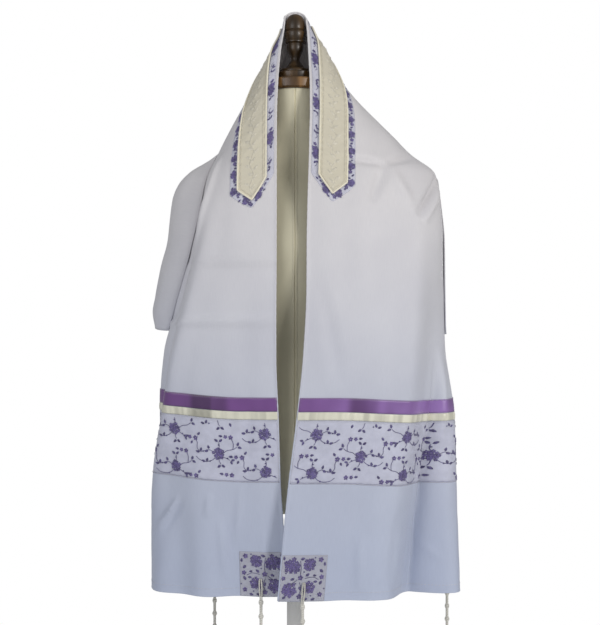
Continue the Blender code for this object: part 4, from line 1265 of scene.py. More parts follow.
def lipped_back():
    """The back's grid with a turned-in lip along both of its hanging sides."""
    back = shawl_grids()["back"]
    lips = {}
    for side, edge in (("left", back[:, 0]), ("right", back[:, -1])):
        hang = smooth_step((BACK_T - SHOULDER_T[side] - LIP_FROM) / LIP_RUN)[:, None]
        lip = edge + (side_lip(side, BACK_T) - edge) * hang
        half = (edge + lip) / 2 + np.array((0.0, -LIP_BELLY, 0.0)) * hang
        lips[side] = np.stack([lip, half], axis=1)
    return np.concatenate([lips["left"], back, lips["right"][:, ::-1]], axis=1)


class TALLIT_OT_shawl(bpy.types.Operator):
    """Drapes the shawl as one cloth: both fronts, their tails and the back"""

    bl_idname = "tallit.shawl"
    bl_label = "Shawl"

    def execute(self, context):
        settings = context.scene.tallit_cloth
        stock = Stock()
        for side, sign in SIDES.items():
            points = shawl_grids()[side]
            z = front_heights(side)
            t = np.broadcast_to(FRONT_T, z.shape)
            stock.add_sheet(points, grid_normals(points, sign), t, z)
        back = lipped_back()
        across, t = np.meshgrid(np.linspace(0, BACK_ROUND, back.shape[1]), BACK_T)
        stock.add_sheet(back, grid_normals(back, 1), t, across)
        cloth = look_named("satin_cloth", satin_cloth, settings.color, settings.weave, settings.lower)
        thing = stock.build("shawl", [cloth], merge=0.00005)
        thicken(thing, settings.thickness, outward=False)
        declare(thing, "shawl", "shawl_front_left", "shawl_front_right", "shawl_back")
        return {"FINISHED"}


STITCH_START, STITCH_STEP, STITCH_LENGTH, STITCH_WIDTH, STITCH_LIFT = 1.5, 3.4, 2.3, 0.62, 0.32
STITCH_COLUMNS = ("name", "level", "out")
STITCH_ROWS = (
    ("hem_stitches", HEM_WIDTH * MM - 1.2, 0.0004),
    ("ribbon_stitches", PURPLE_RIBBON[1] * MM - 1.0, 0.0016),
)
EDGE_START, EDGE_STEP, EDGE_UNEVEN, EDGE_WAVE = 0.0006, 0.0030, 0.12, 520


def stitch_row(level):
    """A row of running stitches across a front, in millimetres."""
    work = Needlework()
    for x in np.arange(STITCH_START, FRONT_REACH * MM - STITCH_LENGTH, STITCH_STEP):
        work.lens(x, level, STITCH_LENGTH, STITCH_WIDTH, 0.0, lift=STITCH_LIFT)
    return work


class TALLIT_OT_edges(bpy.types.Operator):
    """Rolls the shawl's long edge and stitches its hems and ribbons down"""

    bl_idname = "tallit.edges"
    bl_label = "Rolled edge and stitches"

    def execute(self, context):
        settings = context.scene.tallit_cloth
        path, run, _ = thread_path(0)
        at = np.arange(EDGE_START, run[-1], EDGE_STEP)
        radius = ROLL_RADIUS * (1 + EDGE_UNEVEN * np.sin(at * EDGE_WAVE))
        edge = Stock()
        add_tube(edge, points_at(at, run, path), radius)
        # The rolled edge is the cloth's colour made lighter: a painted highlight where the roll catches
        # the light. It also takes the painted cool light towards the hem.
        white = look_named("rolled_edge", satin_cloth, shade(settings.color, 1.1), 0.0005,
                           settings.lower)
        declare(edge.build("rolled_edge", [white]), "shawl")
        thread = look_named("white_thread", thread_look, shade(settings.color, 0.8), 0.85, 1.1)
        for side in SIDES:
            for row in STITCH_ROWS:
                r = dict(zip(STITCH_COLUMNS, row))
                sewn = stitch_row(r["level"])
                place = over_front(side, out=r["out"])
                declare(sewn.laid(f"{r['name']}_{side}", place, [thread]), "shawl")
        return {"FINISHED"}


def over_front(side, start=0.0, share=1.0, out=SEWN_LIFT):
    """How flat needlework is placed on a front: from which thread, and how high."""
    def place(x, y, lift):
        return on_front(side, start + x, y, lift * share + out)

    return place


def pucker(u, seed, pitch):
    """Uneven gathers along a seam, from 0 to 1."""
    wobble = np.sin(u * 61 + seed) * 0.6 + np.sin(u * 23 + 2 * seed) * 0.9
    waves = np.sin(FULL_TURN * u / pitch + wobble * 2.2 + seed)
    strength = 0.5 + 0.5 * np.sin(u * 37 + seed * 3) * np.sin(u * 13 + seed)
    return (0.5 + 0.5 * waves) * strength


def sewn_sheet(name, grid, sign, uv, thickness, look):
    """A thin sheet on the cloth, laid out as a grid, with its thickness."""
    stock = Stock()
    stock.add_sheet(grid, grid_normals(grid, sign), *uv)
    thing = stock.build(name, [look])
    thicken(thing, thickness, outward=True)
    return thing


BAND_INSET = 0.0006         # how far a band's end lies inside the shawl's edge


def laid_band(name, side, low, high, step, rows, out, thickness, look):
    """A ribbon or a strip of lace across a front; out(t, share) is its height over the cloth."""
    t, level = np.meshgrid(np.arange(BAND_INSET, FRONT_REACH, step), np.linspace(low, high, rows))
    grid = on_front(side, t, level, out(t, (level - low) / (high - low)))
    return sewn_sheet(name, grid, SIDES[side], (t, level), thickness, look)


def organza_height(t, _):
    """The height over the cloth of organza, whose gathers run right across it."""
    return ORGANZA_LIFT + 0.0002 * pucker(t, 2.0, 0.045)


RIBBON_ROWS = 7
RIBBON_SEEDS = {"left": 1.0, "right": 2.6}


class TALLIT_OT_ribbons(bpy.types.Operator):
    """Sews the purple and the cream satin ribbon across each front"""

    bl_idname = "tallit.ribbons"
    bl_label = "Ribbons"

    def execute(self, context):
        trim = context.scene.tallit_trim
        lit_cream = shade(trim.cream, 1.1)
        purple = look_named("purple_satin", ribbon_look, trim.purple, trim.purple_light,
                            0.55, 0.26, 16.0)
        cream = look_named("cream_satin", ribbon_look, trim.cream, lit_cream, 0.78, 0.24, 70.0)
        for side in SIDES:
            seed = RIBBON_SEEDS[side]

            def flat(t, share, seed=seed):
                edge = np.minimum(share, 1 - share) * 2
                return 0.0004 + 0.0004 * smooth_step(edge * 4) * pucker(t, seed, 0.031)

            def gathered(t, share, seed=seed):
                belly = np.sin(share * math.pi) ** 0.6
                return 0.0004 + 0.0013 * belly * pucker(t, seed, 0.0105)

            for kind, span, look, out, step in (
                ("purple", PURPLE_RIBBON, purple, flat, 0.0040),
                ("cream", CREAM_RIBBON, cream, gathered, 0.0015),
            ):
                thing = laid_band(f"{kind}_satin_{side}", side, *span, step, RIBBON_ROWS, out,
                                  trim.thickness, look)
                declare(thing, f"{kind}_ribbon", f"ribbon_{kind}_{side}")
        return {"FINISHED"}


class Needlework:
    """Raised stitches drawn flat, in millimetres, and then laid on the cloth."""

    FLOWER, LEAF = 0, 1

    def __init__(self):
        self.points, self.faces, self.slots = [], [], []

    def add(self, points, faces, slot):
        """Adds a stitch in one of the two threads."""
        base = sum(len(p) for p in self.points)
        self.points.append(np.asarray(points, float))
        self.faces += [tuple(base + k for k in face) for face in faces]
        self.slots += [slot] * len(faces)

    def lens(self, x, y, length, width, turn, slot=FLOWER, lift=0.7):
        """A petal or leaf that starts at (x, y)."""
        c, s = math.cos(turn), math.sin(turn)
        points = []
        for along, across, up in LENS_POINTS:
            px, py = along * length, across * width
            points.append((x + px * c - py * s, y + px * s + py * c, up * lift))
        self.add(points, LENS_FACES, slot)

    def flower(self, x, y, size, turn):
        """A flower of plump petals."""
        away = size * 0.10
        for k in range(PETALS):
            angle = turn + FULL_TURN * k / PETALS
            self.lens(x + away * math.cos(angle), y + away * math.sin(angle),
                      size * 0.9, size * 0.78, angle, lift=0.55 + 0.25 * (k % 2))

    def cluster(self, x, y, size, turn):
        """A round head of small flowers, two rings of them round one."""
        self.flower(x, y, size * 0.28, turn)
        for ring, count in ((0.40, 5), (0.76, 10)):
            for k in range(count):
                angle = turn + ring + FULL_TURN * (k + 0.18 * math.sin(5 * k + x)) / count
                reach = size * ring * (1 + 0.14 * math.sin(3 * k + turn + y))
                self.flower(x + reach * math.cos(angle), y + reach * math.sin(angle),
                            size * (0.31 + 0.03 * math.sin(7 * k)), angle * 2)

    def stem(self, points, width=0.45, slot=LEAF, step=1.6):
        """A thin couched line through the points."""
        points = np.asarray(points, float)
        run = run_along(points)
        at = np.arange(0, run[-1], step)
        x, y = (Curve(run, points[:, k])(at) for k in (0, 1))
        ahead = unit(np.stack([np.gradient(x), np.gradient(y)], axis=-1))
        rows = []
        for px, py, (dx, dy) in zip(x, y, ahead):
            rows += [(px - dy * width, py + dx * width, 0.0), (px, py, 0.5),
                     (px + dy * width, py - dx * width, 0.0)]
        faces = []
        for k in range(len(at) - 1):
            a = 3 * k
            faces += [(a, a + 1, a + 4, a + 3), (a + 1, a + 2, a + 5, a + 4)]
        self.add(rows, faces, slot)

    def part(self, kind, x, y, size, turn):
        """One row of a motif's table."""
        angle = math.radians(turn)
        if kind == "cluster":
            self.cluster(x, y, size, angle)
        elif kind == "flower":
            self.flower(x, y, size * 0.68, angle)
        elif kind == "bud":
            self.lens(x - size / 2, y, size, size * 0.9, angle, self.LEAF)
        else:
            self.lens(x, y, size, size * 0.62, angle, self.LEAF)

    def laid(self, name, place, looks):
        """The stitches as an object; place(x, y, lift) puts them on the cloth, in metres."""
        flat = np.concatenate(self.points) / MM
        stock = Stock()
        points = place(flat[:, 0], flat[:, 1], flat[:, 2])
        above = place(flat[:, 0], flat[:, 1], flat[:, 2] + 0.001)
        faces = []
        for face in self.faces:
            a, b, c = (points[k] for k in face[:3])
            outward = above[face[0]] - a
            faces.append(face if np.dot(np.cross(b - a, c - a), outward) > 0 else face[::-1])
        stock.points, stock.faces, stock.slots = [points], [list(f) for f in faces], self.slots
        stock.uvs = [flat[:, :2]]
        return stock.build(name, looks, merge=0)


def thread_looks(context):
    """The flowers' and the leaves' thread."""
    trim = context.scene.tallit_trim
    return [
        look_named("violet_thread", thread_look, trim.thread),
        look_named("leaf_thread", thread_look, trim.leaf),
    ]


def band_needlework(low, high, shift):
    """Rows of flower heads, sprigs and stems over a band, in millimetres."""
    work = Needlework()
    reach = FRONT_REACH * MM
    lowest, highest = low + 2.5, high - 2.0
    for column, x0 in enumerate(np.arange(MOTIF_START + shift, reach + 60, MOTIF_STEP)):
        drop = MOTIF_DROP if column % 2 else 0.0
        for row in (-1, 0, 1, 2):
            y0 = low + MOTIF_UP + row * MOTIF_RISE + drop
            for part in MOTIF_PARTS:
                p = dict(zip(MOTIF_COLUMNS, part))
                x, y = x0 + p["x"], y0 + p["y"]
                room = p["size"] * (0.5 if p["kind"] == "cluster" else 0.9)
                if room < x < reach - room and lowest + room * 0.6 < y < highest - room * 0.6:
                    work.part(p["kind"], x, y, p["size"], p["turn"])
            for stem in MOTIF_STEMS:
                points = [(x0 + x, y0 + y) for x, y in stem]
                if all(2 < x < reach - 2 and lowest < y < highest for x, y in points):
                    work.stem(points)
    edge = np.arange(1.0, reach - 1, 2.0)
    scallops = low + 1.4 + 0.9 * np.abs(np.sin(edge * math.pi / 12))
    work.stem(np.stack([edge, scallops], axis=-1), 0.12)
    return work


class TALLIT_OT_lace_bands(bpy.types.Operator):
    """Lays the embroidered organza across each front"""

    bl_idname = "tallit.lace_bands"
    bl_label = "Embroidered bands"

    def execute(self, context):
        trim = context.scene.tallit_trim
        organza = look_named("organza", organza_look, trim.organza, ORGANZA_ALPHA)
        for side in SIDES:
            thing = laid_band(f"organza_{side}", side, *LACE_BAND, 0.0045, 16, organza_height,
                              ORGANZA_THICK, organza)
            declare(thing, "lace", f"lace_band_{side}")
            work = band_needlework(LACE_BAND[0] * MM, LACE_BAND[1] * MM, MOTIF_SHIFT[side])
            place = over_front(side, share=SEWN_SHARE)
            sewn = work.laid(f"band_flowers_{side}", place, thread_looks(context))
            declare(sewn, "lace")
        return {"FINISHED"}


PATCH_STARTS = {"inner": 0.0008, "outer": FRONT_REACH - PATCH_SIDE}


class TALLIT_OT_patches(bpy.types.Operator):
    """Sews a square of flowered organza on each corner"""

    bl_idname = "tallit.patches"
    bl_label = "Corner patches"

    def execute(self, context):
        trim = context.scene.tallit_trim
        organza = look_named("patch_organza", organza_look, shade(trim.organza, 0.72), PATCH_ALPHA)
        for side in SIDES:
            for corner, start in PATCH_STARTS.items():
                t, level = np.meshgrid(
                    np.linspace(start, start + PATCH_SIDE - 0.001, 34),
                    np.linspace(BAND_INSET, PATCH_SIDE, 30),
                )
                grid = on_front(side, t, level, np.full_like(t, ORGANZA_LIFT))
                thing = sewn_sheet(f"patch_{corner}_organza_{side}", grid, SIDES[side], (t, level),
                                   ORGANZA_THICK, organza)
                declare(thing, "lace", f"patch_{corner}_{side}")
                work = Needlework()
                for part in PATCH_PARTS:
                    work.part(*part)
                for stem in PATCH_STEMS:
                    work.stem(stem)

                def place(x, y, lift, sewn_on=over_front(side, start, SEWN_SHARE)):
                    x = np.clip(x, 0.0012, PATCH_SIDE - 0.0015)
                    y = np.clip(y, 0.0012, PATCH_SIDE - 0.0008)
                    return sewn_on(x, y, lift)

                sewn = work.laid(f"patch_{corner}_flowers_{side}", place, thread_looks(context))
                declare(sewn, "lace")
        return {"FINISHED"}


def strip_ends(below):
    """How far from the nape the strip's two points reach."""
    return {side: tip_distance(side, TIP_Z[side] - below) for side in SIDES}


def end_shape(t, span, reach, height):
    """Where each thread of a pointed strip ends, as a distance from the nape."""
    middle, half = sum(span) / 2, (span[1] - span[0]) / 2
    return reach - np.abs(t - middle) / half * height


def pointed_strip(name, span, below, height, rows, columns, out, thickness, look):
    """A pointed strip along the neck edge, with its thickness."""
    ends = strip_ends(below)
    t = np.linspace(*span, columns)
    low, high = (s * end_shape(t, span, ends[k], height) for k, s in SIDES.items())
    w = low + (high - low) * np.linspace(0, 1, rows)[:, None]
    t = np.repeat(t[None], rows, 0)
    return sewn_sheet(name, on_strip(w, t, out(w, t)), -1, (w, t), thickness, look)


PIPING_IN, PIPING_UP, PIPING_RADIUS = 0.0004, 0.0032, 0.0015
FRAME_IN, FRAME_UP, FRAME_RADIUS = 0.0048, 0.0009, 0.0006


def lace_height(w, t):
    """How high the lace under the neckband lies over the shawl."""
    return np.full(np.broadcast(w, t).shape, 0.0006)


def strip_outline(inset, side, step=0.003, start=0.0):
    """Points (t, w) round one pointed end of the neckband, that far inside its edge."""
    span = (BAND_T[0] + inset, BAND_T[1] - inset)
    reach = strip_ends(0.0)[side] - inset * 1.25
    corner = reach - POINT_HEIGHT * (span[1] - span[0]) / (BAND_T[1] - BAND_T[0])
    line = np.array((
        (span[0], start), (span[0], corner), (sum(span) / 2, reach), (span[1], corner),
        (span[1], start),
    ))
    run = run_along(line)
    at = np.linspace(0, run[-1], int(run[-1] / step))
    return np.interp(at, run, line[:, 0]), np.interp(at, run, line[:, 1]) * SIDES[side]


def band_height(w, t):
    """How high the neckband's puckered satin lies over the shawl."""
    edge = np.minimum(t - BAND_T[0], BAND_T[1] - t)
    near = np.exp(-((edge / 0.006) ** 2))
    wave = pucker(w, 0.4, 0.013) * near + 0.5 * pucker(w + t * 0.7, 1.9, 0.034) * (1 - near)
    return 0.0019 + 0.0021 * wave


SPRAY_OUT, SPRAY_STEP = 0.0062, 9.6


class TALLIT_OT_neckband(bpy.types.Operator):
    """Sews the ivory neckband, its piping and its stitched vine over the flowered lace"""

    bl_idname = "tallit.neckband"
    bl_label = "Neckband"

    def execute(self, context):
        trim = context.scene.tallit_trim
        ivory = look_named("ivory_satin", satin_cloth, trim.ivory, 0.0006)
        piping_look = look_named("piping_satin", satin_cloth, shade(trim.ivory, 1.35), 0.0005)
        vine_look = look_named("vine_thread", thread_look, trim.vine, 0.9, 1.12)

        sheer = look_named("organza", organza_look, trim.organza, ORGANZA_ALPHA)
        lace = pointed_strip("neck_lace", LACE_T, LACE_BELOW_TIP, LACE_POINT_HEIGHT, 300, 22,
                             lace_height, 0.0003, sheer)
        declare(lace, "lace", "neckband_lace")
        declare(self.lace_flowers(context), "lace")

        band = pointed_strip("neckband_satin", BAND_T, 0.0, POINT_HEIGHT, 330, 26,
                             band_height, 0.0007, ivory)
        declare(band, "neckband", "neckband")

        piping, frame_line = Stock(), Stock()
        for side in SIDES:
            t, w = strip_outline(PIPING_IN, side)
            add_tube(piping, on_strip(w, t, np.full_like(t, PIPING_UP)), PIPING_RADIUS)
            t, w = strip_outline(FRAME_IN, side)
            add_tube(frame_line, on_strip(w, t, band_height(w, t) + FRAME_UP), FRAME_RADIUS, 6)
        declare(piping.build("neckband_piping", [piping_look]), "neckband")
        declare(frame_line.build("neckband_frame_stitch", [vine_look]), "neckband")
        declare(self.vine(vine_look), "neckband")
        return {"FINISHED"}

    def lace_flowers(self, context):
        """Flowers along the lace wherever it shows beside the neckband."""
        work = Needlework()
        for side in SIDES:
            t, w = strip_outline(-SPRAY_OUT, side, SPRAY_STEP / MM, 0.004)
            inner_end = abs(w).max() * MM - 30
            for k, (tk, wk) in enumerate(zip(t * MM, w * MM)):
                if tk < BAND_T[0] * MM and k * SPRAY_STEP < inner_end:
                    self.inner_spray(work, k, wk, tk)
                else:
                    self.outer_spray(work, k, wk, tk)

        def place(x, y, lift):
            y = np.clip(y, LACE_T[0] + 0.0004, LACE_T[1] - 0.0004)
            return on_strip(x, y, lift * 0.6 + 0.0011)

        return work.laid("neck_lace_flowers", place, thread_looks(context))

    def outer_spray(self, work, k, w, t):
        """In turn a flower head, a pair of leaves, and a small flower with a leaf."""
        push, turn = 1.5 * math.sin(2.4 * k), 2.1 * k
        if k % 3 == 0:
            work.cluster(w, t + push * 0.4, 6.4, 0.9 * k)
        elif k % 3 == 1:
            work.lens(w - 1.5, t + push, 5.4, 3.4, turn, work.LEAF)
            work.lens(w + 2.2, t - push, 5.4, 3.4, turn + 1.9, work.LEAF)
        else:
            work.flower(w, t + push, 3.6, turn)
            work.lens(w - 3.4, t - push * 0.8, 4.8, 3.0, turn, work.LEAF)

    def inner_spray(self, work, k, w, t):
        """Now and then a flower head, a pair of leaves or a bud beside the neck edge."""
        kind = (k * 5 + (3 if w > 0 else 0)) % 9
        if kind in (0, 4):
            work.cluster(w, t, 6.1, 0.7 * k)
        elif kind in (2, 5, 7):
            work.lens(w, t, 5.6, 3.2, 0.8 * k, work.LEAF)
            work.lens(w, t, 5.6, 3.2, 0.8 * k + 1.8, work.LEAF)
            work.stem(((w, t), (w + 5, t + 2.2), (w + 11, t - 1.5)), 0.35)
        elif kind == 8:
            work.flower(w, t - 1, 3.2, k)

    def vine(self, look):
        """A vine in raised stitches along the middle of the neckband."""
        work = Needlework()
        middle = sum(BAND_T) / 2 * MM

        def wave(x):
            return middle + 3.0 * math.sin(x * math.pi / 20)

        for side, sign in SIDES.items():
            reach = strip_ends(0.0)[side] * MM - 14.0
            stem = [(sign * x, wave(x)) for x in np.arange(0.0, reach + 6, 3.0)]
            work.stem(stem, 0.9, work.FLOWER)
            for k, x in enumerate(np.arange(4.0, reach, 7.5)):
                turn = math.atan2(1 if k % 2 else -1, -sign * 0.85)
                work.lens(sign * x, wave(x), 12.0, 5.6, turn, lift=0.9)
            work.flower(sign * (reach + 7), middle, 4.0, 0.0)

        def place(x, y, lift):
            return on_strip(x, y, lift * 1.8 + band_height(x, y) + 0.0007)

        return work.laid("neckband_vine", place, [look])


def tassel_radius(drop, turn):
    """The wound stretch's radius, by the distance below its top and the angle round it."""
    radius = np.full(np.broadcast(drop, turn).shape, CORD_RADIUS * 0.82)
    wind = np.sin(FULL_TURN * drop / WINDING_PITCH - turn)
    radius = radius + WINDING_HEIGHT * (0.5 + 0.5 * wind) ** 0.6
    for k in range(KNOTS):
        middle = KNOT_LENGTH + (WOUND_LENGTH - 2 * KNOT_LENGTH) * k / (KNOTS - 1)
        share = np.clip(np.abs(drop - middle) / (KNOT_LENGTH / 2), 0, 1)
        bulge = (KNOT_RADIUS - CORD_RADIUS) * np.cos(share * math.pi / 2) ** 0.8
        lobes = 1 + 0.16 * np.sin(2 * turn + 700 * drop) * (1 - share)
        radius = radius + bulge * lobes
    return radius


STRAND_SHARE = np.linspace(0, 1, STRAND_RINGS)
STRAND_TAPER = 1 - 0.35 * smooth_step((STRAND_SHARE - 0.94) / 0.06)


def loose_strand(k):
    """The path of one of the loose strands, from the foot of the wound stretch."""
    angle = FULL_TURN * (k + 0.5) / STRANDS
    length = TASSEL_HANG - WOUND_LENGTH - STRAND_UNEVEN * (k * 3 % STRANDS) / STRANDS
    spread_out = STRAND_SPREAD * 0.75 * STRAND_SHARE**0.6
    away = 0.0012 + spread_out * (1 + 0.3 * math.sin(5 * k))
    swing = angle + 0.5 * np.sin(STRAND_SHARE * 5 + k)
    curl = 0.0008 * np.sin(STRAND_SHARE * 19 + 2 * k)
    across = away * np.cos(swing) + curl
    back = away * np.sin(swing) * STRAND_SPREAD_DEPTH
    return np.stack([across, back, -length * STRAND_SHARE + 0.002], axis=-1)


def one_on_front(side, t, level, out):
    """One point over a front, as a row."""
    return on_front(side, *(np.array([value]) for value in (t, level, out)))


class TALLIT_OT_tassels(bpy.types.Operator):
    """Ties a wound and knotted tassel through each corner"""

    bl_idname = "tallit.tassels"
    bl_label = "Tassels"

    def execute(self, context):
        look = look_named("twisted_cord", cord_look, context.scene.tallit_cloth.tassel)
        for side in SIDES:
            for corner, t in (("inner", HOLE_IN), ("outer", FRONT_REACH - HOLE_IN)):
                thing = self.tassel(f"tzitzit_{corner}_{side}", side, t, look)
                declare(thing, "tassel", f"tassel_{corner}_{side}")
        return {"FINISHED"}

    def tassel(self, name, side, t, look):
        """Two strands over the patch, a wound cord with five knots, and eight loose strands."""
        stock = Stock()
        arc = np.sin(np.linspace(0, math.pi, OVER_RINGS))
        drops = np.linspace(HOLE_UP, BAND_INSET, OVER_RINGS)
        over = ORGANZA_LIFT + 0.0014 + STRAND_RADIUS + OVER_BELLY * arc ** 0.5
        for shift in (-OVER_APART, OVER_APART):
            run = on_front(side, t + shift * (1 + 0.5 * arc), drops, over)
            dive = one_on_front(side, t + shift, HOLE_UP + 0.001, 0.0003)
            hang = run[-1] + DOWN * np.linspace(0.0015, 0.012, 6)[:, None]
            add_tube(stock, np.concatenate([dive, run, hang]), STRAND_RADIUS * 1.1)
        top = one_on_front(side, t, BAND_INSET, over[-1])
        down = np.linspace(WOUND_START, WOUND_LENGTH, WOUND_RINGS)[:, None]
        turn = np.linspace(0, FULL_TURN, WOUND_SIDES, endpoint=False)
        radius = tassel_radius(down, turn[None])
        radius[0] *= 0.5
        radius[-1] *= 0.6
        path = top + DOWN * down
        add_tube(stock, path, radius, WOUND_SIDES)
        for k in range(STRANDS):
            add_tube(stock, path[-1] + loose_strand(k), STRAND_RADIUS * STRAND_TAPER)
        return stock.build(name, [look])


class TALLIT_OT_torso(bpy.types.Operator):
    """Covers the limbless torso in jersey, with its centre and side seams"""

    bl_idname = "tallit.torso"
    bl_label = "Torso"

    def execute(self, context):
        heights = np.concatenate([
            TORSO_BOTTOM_Z + np.array((0.0, 0.0006, 0.0018, 0.0036)),
            np.linspace(TORSO_BOTTOM_Z + 0.007, TORSO_TOP_Z, 120),
        ])
        near = np.linspace(-0.050, 0.050, 41)
        around = np.linspace(-math.pi, math.pi, 120, endpoint=False)
        around = np.unique(np.round(np.concatenate([around, *(s + near for s in TORSO_SEAMS)]), 4))
        around = around[(around >= -math.pi) & (around < math.pi - 0.001)]
        points = self.surface(*np.meshgrid(heights, around, indexing="ij"))
        closed = np.concatenate([points, points[:, :1]], axis=1)
        stock = Stock()
        normals = unit(closed * np.array((1, 1, 0)))
        stock.add_sheet(closed, normals, closed[..., 0], closed[..., 2])
        count = closed.shape[1]
        last = (len(heights) - 1) * count
        stock.add_face(list(range(count - 2, -1, -1)))
        stock.add_face(list(range(last, last + count - 1)))
        cover = look_named("jersey_cover", cover_look, context.scene.tallit_form.cover)
        thing = stock.build("torso_cover", [cover], merge=0.00001)
        select_only(thing)
        bpy.ops.object.shade_smooth_by_angle(angle=math.radians(50))
        declare(thing, "form_cover", "form_torso")
        return {"FINISHED"}

    def surface(self, z, angle):
        """The cover's points, with its seams pressed open and its lower edge turned in."""
        rows = curves(TORSO_COLUMNS, TORSO_ROWS)
        wide = rows["wide"](z)
        depth = np.where(np.sin(angle) > 0, rows["back"](z), rows["front"](z))
        off = [np.abs(np.angle(np.exp(1j * (angle - s)))) for s in TORSO_SEAMS]
        gap = np.min(off, axis=0) * wide
        ridge = SEAM_RIDGE * np.exp(-(((gap - SEAM_RIDGE_AT) / SEAM_RIDGE_WIDTH) ** 2))
        groove = SEAM_GROOVE * np.exp(-((gap / SEAM_GROOVE_WIDTH) ** 2))
        low = np.clip((z - TORSO_BOTTOM_Z) / TORSO_ROUND, 0, 1)
        out = ridge - groove - TORSO_ROUND * (1 - np.sqrt(low)) - TORSO_IN
        return np.stack([(wide + out) * np.cos(angle), (depth + out) * np.sin(angle), z], axis=-1)


def turned_piece(name, rows, bottom, steps, look):
    """A turned piece: a circle drawn up in edit mode, ring by ring, through rows from its top down."""
    height, radius = rows[-1]
    bpy.ops.object.select_all(action="DESELECT")
    bpy.ops.mesh.primitive_circle_add(vertices=steps, radius=radius, fill_type="NGON")
    thing = bpy.context.active_object
    thing.name = thing.data.name = name
    thing.data.materials.append(look)
    bpy.ops.object.mode_set(mode="EDIT")
    bpy.ops.mesh.select_all(action="SELECT")
    bpy.ops.transform.translate(value=(0, 0, bottom + height))
    for next_height, next_radius in rows[-2::-1]:
        bpy.ops.mesh.extrude_region_move(
            TRANSFORM_OT_translate={"value": (0, 0, next_height - height)}
        )
        ratio = next_radius / radius
        middle = (0, 0, bottom + next_height)
        bpy.ops.transform.resize(value=(ratio, ratio, 1), center_override=middle)
        height, radius = next_height, next_radius
    bpy.ops.mesh.select_all(action="SELECT")
    bpy.ops.mesh.remove_doubles(threshold=0.00002)
    bpy.ops.mesh.normals_make_consistent(inside=False)
    bpy.ops.object.mode_set(mode="OBJECT")
    bpy.ops.object.shade_smooth_by_angle(angle=math.radians(40))
    return thing


def plate_rows():
    """The neck plate's outline from the top down: height, radius."""
    top, edge = PLATE_THICK, PLATE_EDGE
    rows = [(top, 0.0), (top, PLATE_RADIUS - edge)]
    for k in range(1, PLATE_STEPS):
        angle = k / PLATE_STEPS * math.pi / 2
        rows.append((top - edge * (1 - math.cos(angle)), PLATE_RADIUS - edge * (1 - math.sin(angle))))
    return rows + [(top - edge, PLATE_RADIUS), (edge, PLATE_RADIUS), (0.0, PLATE_RADIUS - edge)]


class TALLIT_OT_woodwork(bpy.types.Operator):
    """Turns the neck plate and the knob"""

    bl_idname = "tallit.woodwork"
    bl_label = "Knob and neck plate"

    def execute(self, context):
        form = context.scene.tallit_form
        walnut = look_named("walnut", wood_look, form.walnut, 0.12)
        brown = look_named("brown_wood", wood_look, form.plate, 0.15)
        bottom = TORSO_TOP_Z + SEAM_GAP
        plate = turned_piece("neck_plate_wood", plate_rows(), bottom, 96, brown)
        declare(plate, "dark_wood", "form_neck_plate")
        knob = turned_piece("knob_wood", KNOB_ROWS, bottom + PLATE_THICK + SEAM_GAP, 64, walnut)
        declare(knob, "dark_wood", "form_knob")
        return {"FINISHED"}


class TALLIT_OT_stand(bpy.types.Operator):
    """Turns the stand's pole and its round base"""

    bl_idname = "tallit.stand"
    bl_label = "Stand"

    def execute(self, context):
        paint = look_named("stand_paint", paint_look, context.scene.tallit_form.paint)
        bottom = BASE_THICK + SEAM_GAP
        length = TORSO_BOTTOM_Z - SEAM_GAP - bottom
        rows = ((length, 0.0), (length, POLE_RADIUS), (0.0, POLE_RADIUS))
        declare(turned_piece("pole_tube", rows, bottom, 48, paint), "painted_steel", "stand_pole")
        rows = [(height, BASE_RADIUS - inside) for height, inside in BASE_ROWS]
        declare(turned_piece("base_disc", rows, 0.0, 128, paint), "painted_steel", "stand_base")
        return {"FINISHED"}


class TALLIT_OT_sheets(bpy.types.Operator):
    """Adds up how far the neckband's two points reach from the nape, and keeps nothing of it."""

    bl_idname = "tallit.sheets"
    bl_label = "Cut sizes"

    def execute(self, context):
        length = sum(strip_ends(0.0).values())
        return {"FINISHED"}


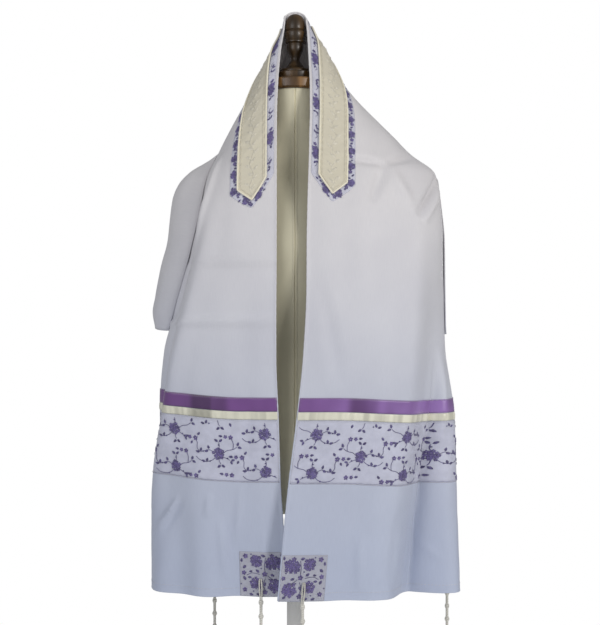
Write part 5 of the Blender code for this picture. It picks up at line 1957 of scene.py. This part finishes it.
class TALLIT_OT_stage(bpy.types.Operator):
    """Sets up the floor, the soft lights, the sky and the camera"""

    bl_idname = "tallit.stage"
    bl_label = "Stage"

    def execute(self, context):
        settings = context.scene.tallit_stage
        scene = context.scene
        scene.view_settings.view_transform = "Standard"
        sky = Look("studio_sky", sky=True)
        scene.world = sky.finish(Color=(0.97, 0.98, 1.0), Strength=settings.sky)
        seen = sky.node("ShaderNodeBackground", None, {"Color": (1.0, 1.0, 1.0), "Strength": 1.0})
        to_camera = sky.node("ShaderNodeLightPath", output="Is Camera Ray")
        lighting = Tap(sky, sky.shader.outputs[0])
        blend = sky.node("ShaderNodeMixShader", None, {0: to_camera, 1: lighting, 2: seen})
        sky.put(sky.tree.nodes["World Output"].inputs["Surface"], blend)

        bpy.ops.object.select_all(action="DESELECT")
        bpy.ops.mesh.primitive_circle_add(vertices=96, radius=settings.floor, fill_type="NGON")
        floor = context.active_object
        floor.name = "studio_floor"
        look = Look("floor_paint")
        tone = look.noise(look.place(), 3.0, 2.0)
        base = look.mix(tone, (0.90, 0.90, 0.90), (0.93, 0.93, 0.93))
        floor.data.materials.append(look.finish(Base_Color=base, Roughness=0.8))

        for row in LIGHTS:
            light = dict(zip(LIGHT_COLUMNS, row))
            data = bpy.data.lights.new(light["name"], "AREA")
            data.energy, data.size = getattr(settings, light["name"]), light["size"]
            data.color = light["color"]
            lamp = bpy.data.objects.new(light["name"], data)
            scene.collection.objects.link(lamp)
            lamp.location = light["at"]
            x, y, z = np.array(LIGHTS_AIM) - np.array(light["at"])
            lamp.rotation_euler = (math.atan2(math.hypot(x, y), -z), 0, math.atan2(-x, y))

        view = bpy.data.cameras.new("photo_view")
        view.lens = CAMERA_LENS
        camera = bpy.data.objects.new("photo_view", view)
        camera.location = CAMERA_AT
        camera.rotation_euler = (math.pi / 2, 0, 0)
        scene.collection.objects.link(camera)
        scene.camera = camera
        return {"FINISHED"}


STEPS = (
    TALLIT_OT_stage, TALLIT_OT_shawl, TALLIT_OT_edges, TALLIT_OT_ribbons, TALLIT_OT_lace_bands,
    TALLIT_OT_patches, TALLIT_OT_neckband, TALLIT_OT_tassels, TALLIT_OT_torso, TALLIT_OT_woodwork,
    TALLIT_OT_stand, TALLIT_OT_sheets,
)
SETTINGS = {
    "tallit_cloth": ClothSettings, "tallit_trim": TrimSettings, "tallit_form": FormSettings,
    "tallit_stage": StageSettings,
}


class TALLIT_PT_panel(bpy.types.Panel):
    """Lists the steps and their settings"""

    bl_idname = "TALLIT_PT_panel"
    bl_label = "Tallit"
    bl_space_type = "VIEW_3D"
    bl_region_type = "UI"
    bl_category = "Tallit"

    def draw(self, context):
        for name, kind in SETTINGS.items():
            box = self.layout.box()
            for field in kind.__annotations__:
                box.prop(getattr(context.scene, name), field)
        for step in STEPS:
            self.layout.operator(step.bl_idname)


def register():
    """Registers the settings, the steps and the panel."""
    for cls in (*SETTINGS.values(), *STEPS, TALLIT_PT_panel):
        bpy.utils.register_class(cls)
    for name, kind in SETTINGS.items():
        setattr(bpy.types.Scene, name, bpy.props.PointerProperty(type=kind))


def unregister():
    """Takes them out again."""
    for name in SETTINGS:
        delattr(bpy.types.Scene, name)
    for cls in reversed((*SETTINGS.values(), *STEPS, TALLIT_PT_panel)):
        bpy.utils.unregister_class(cls)


def main():
    """Registers the add-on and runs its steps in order."""
    register()
    for step in STEPS:
        group, name = step.bl_idname.split(".")
        getattr(getattr(bpy.ops, group), name)()


if __name__ == "__main__":
    main()
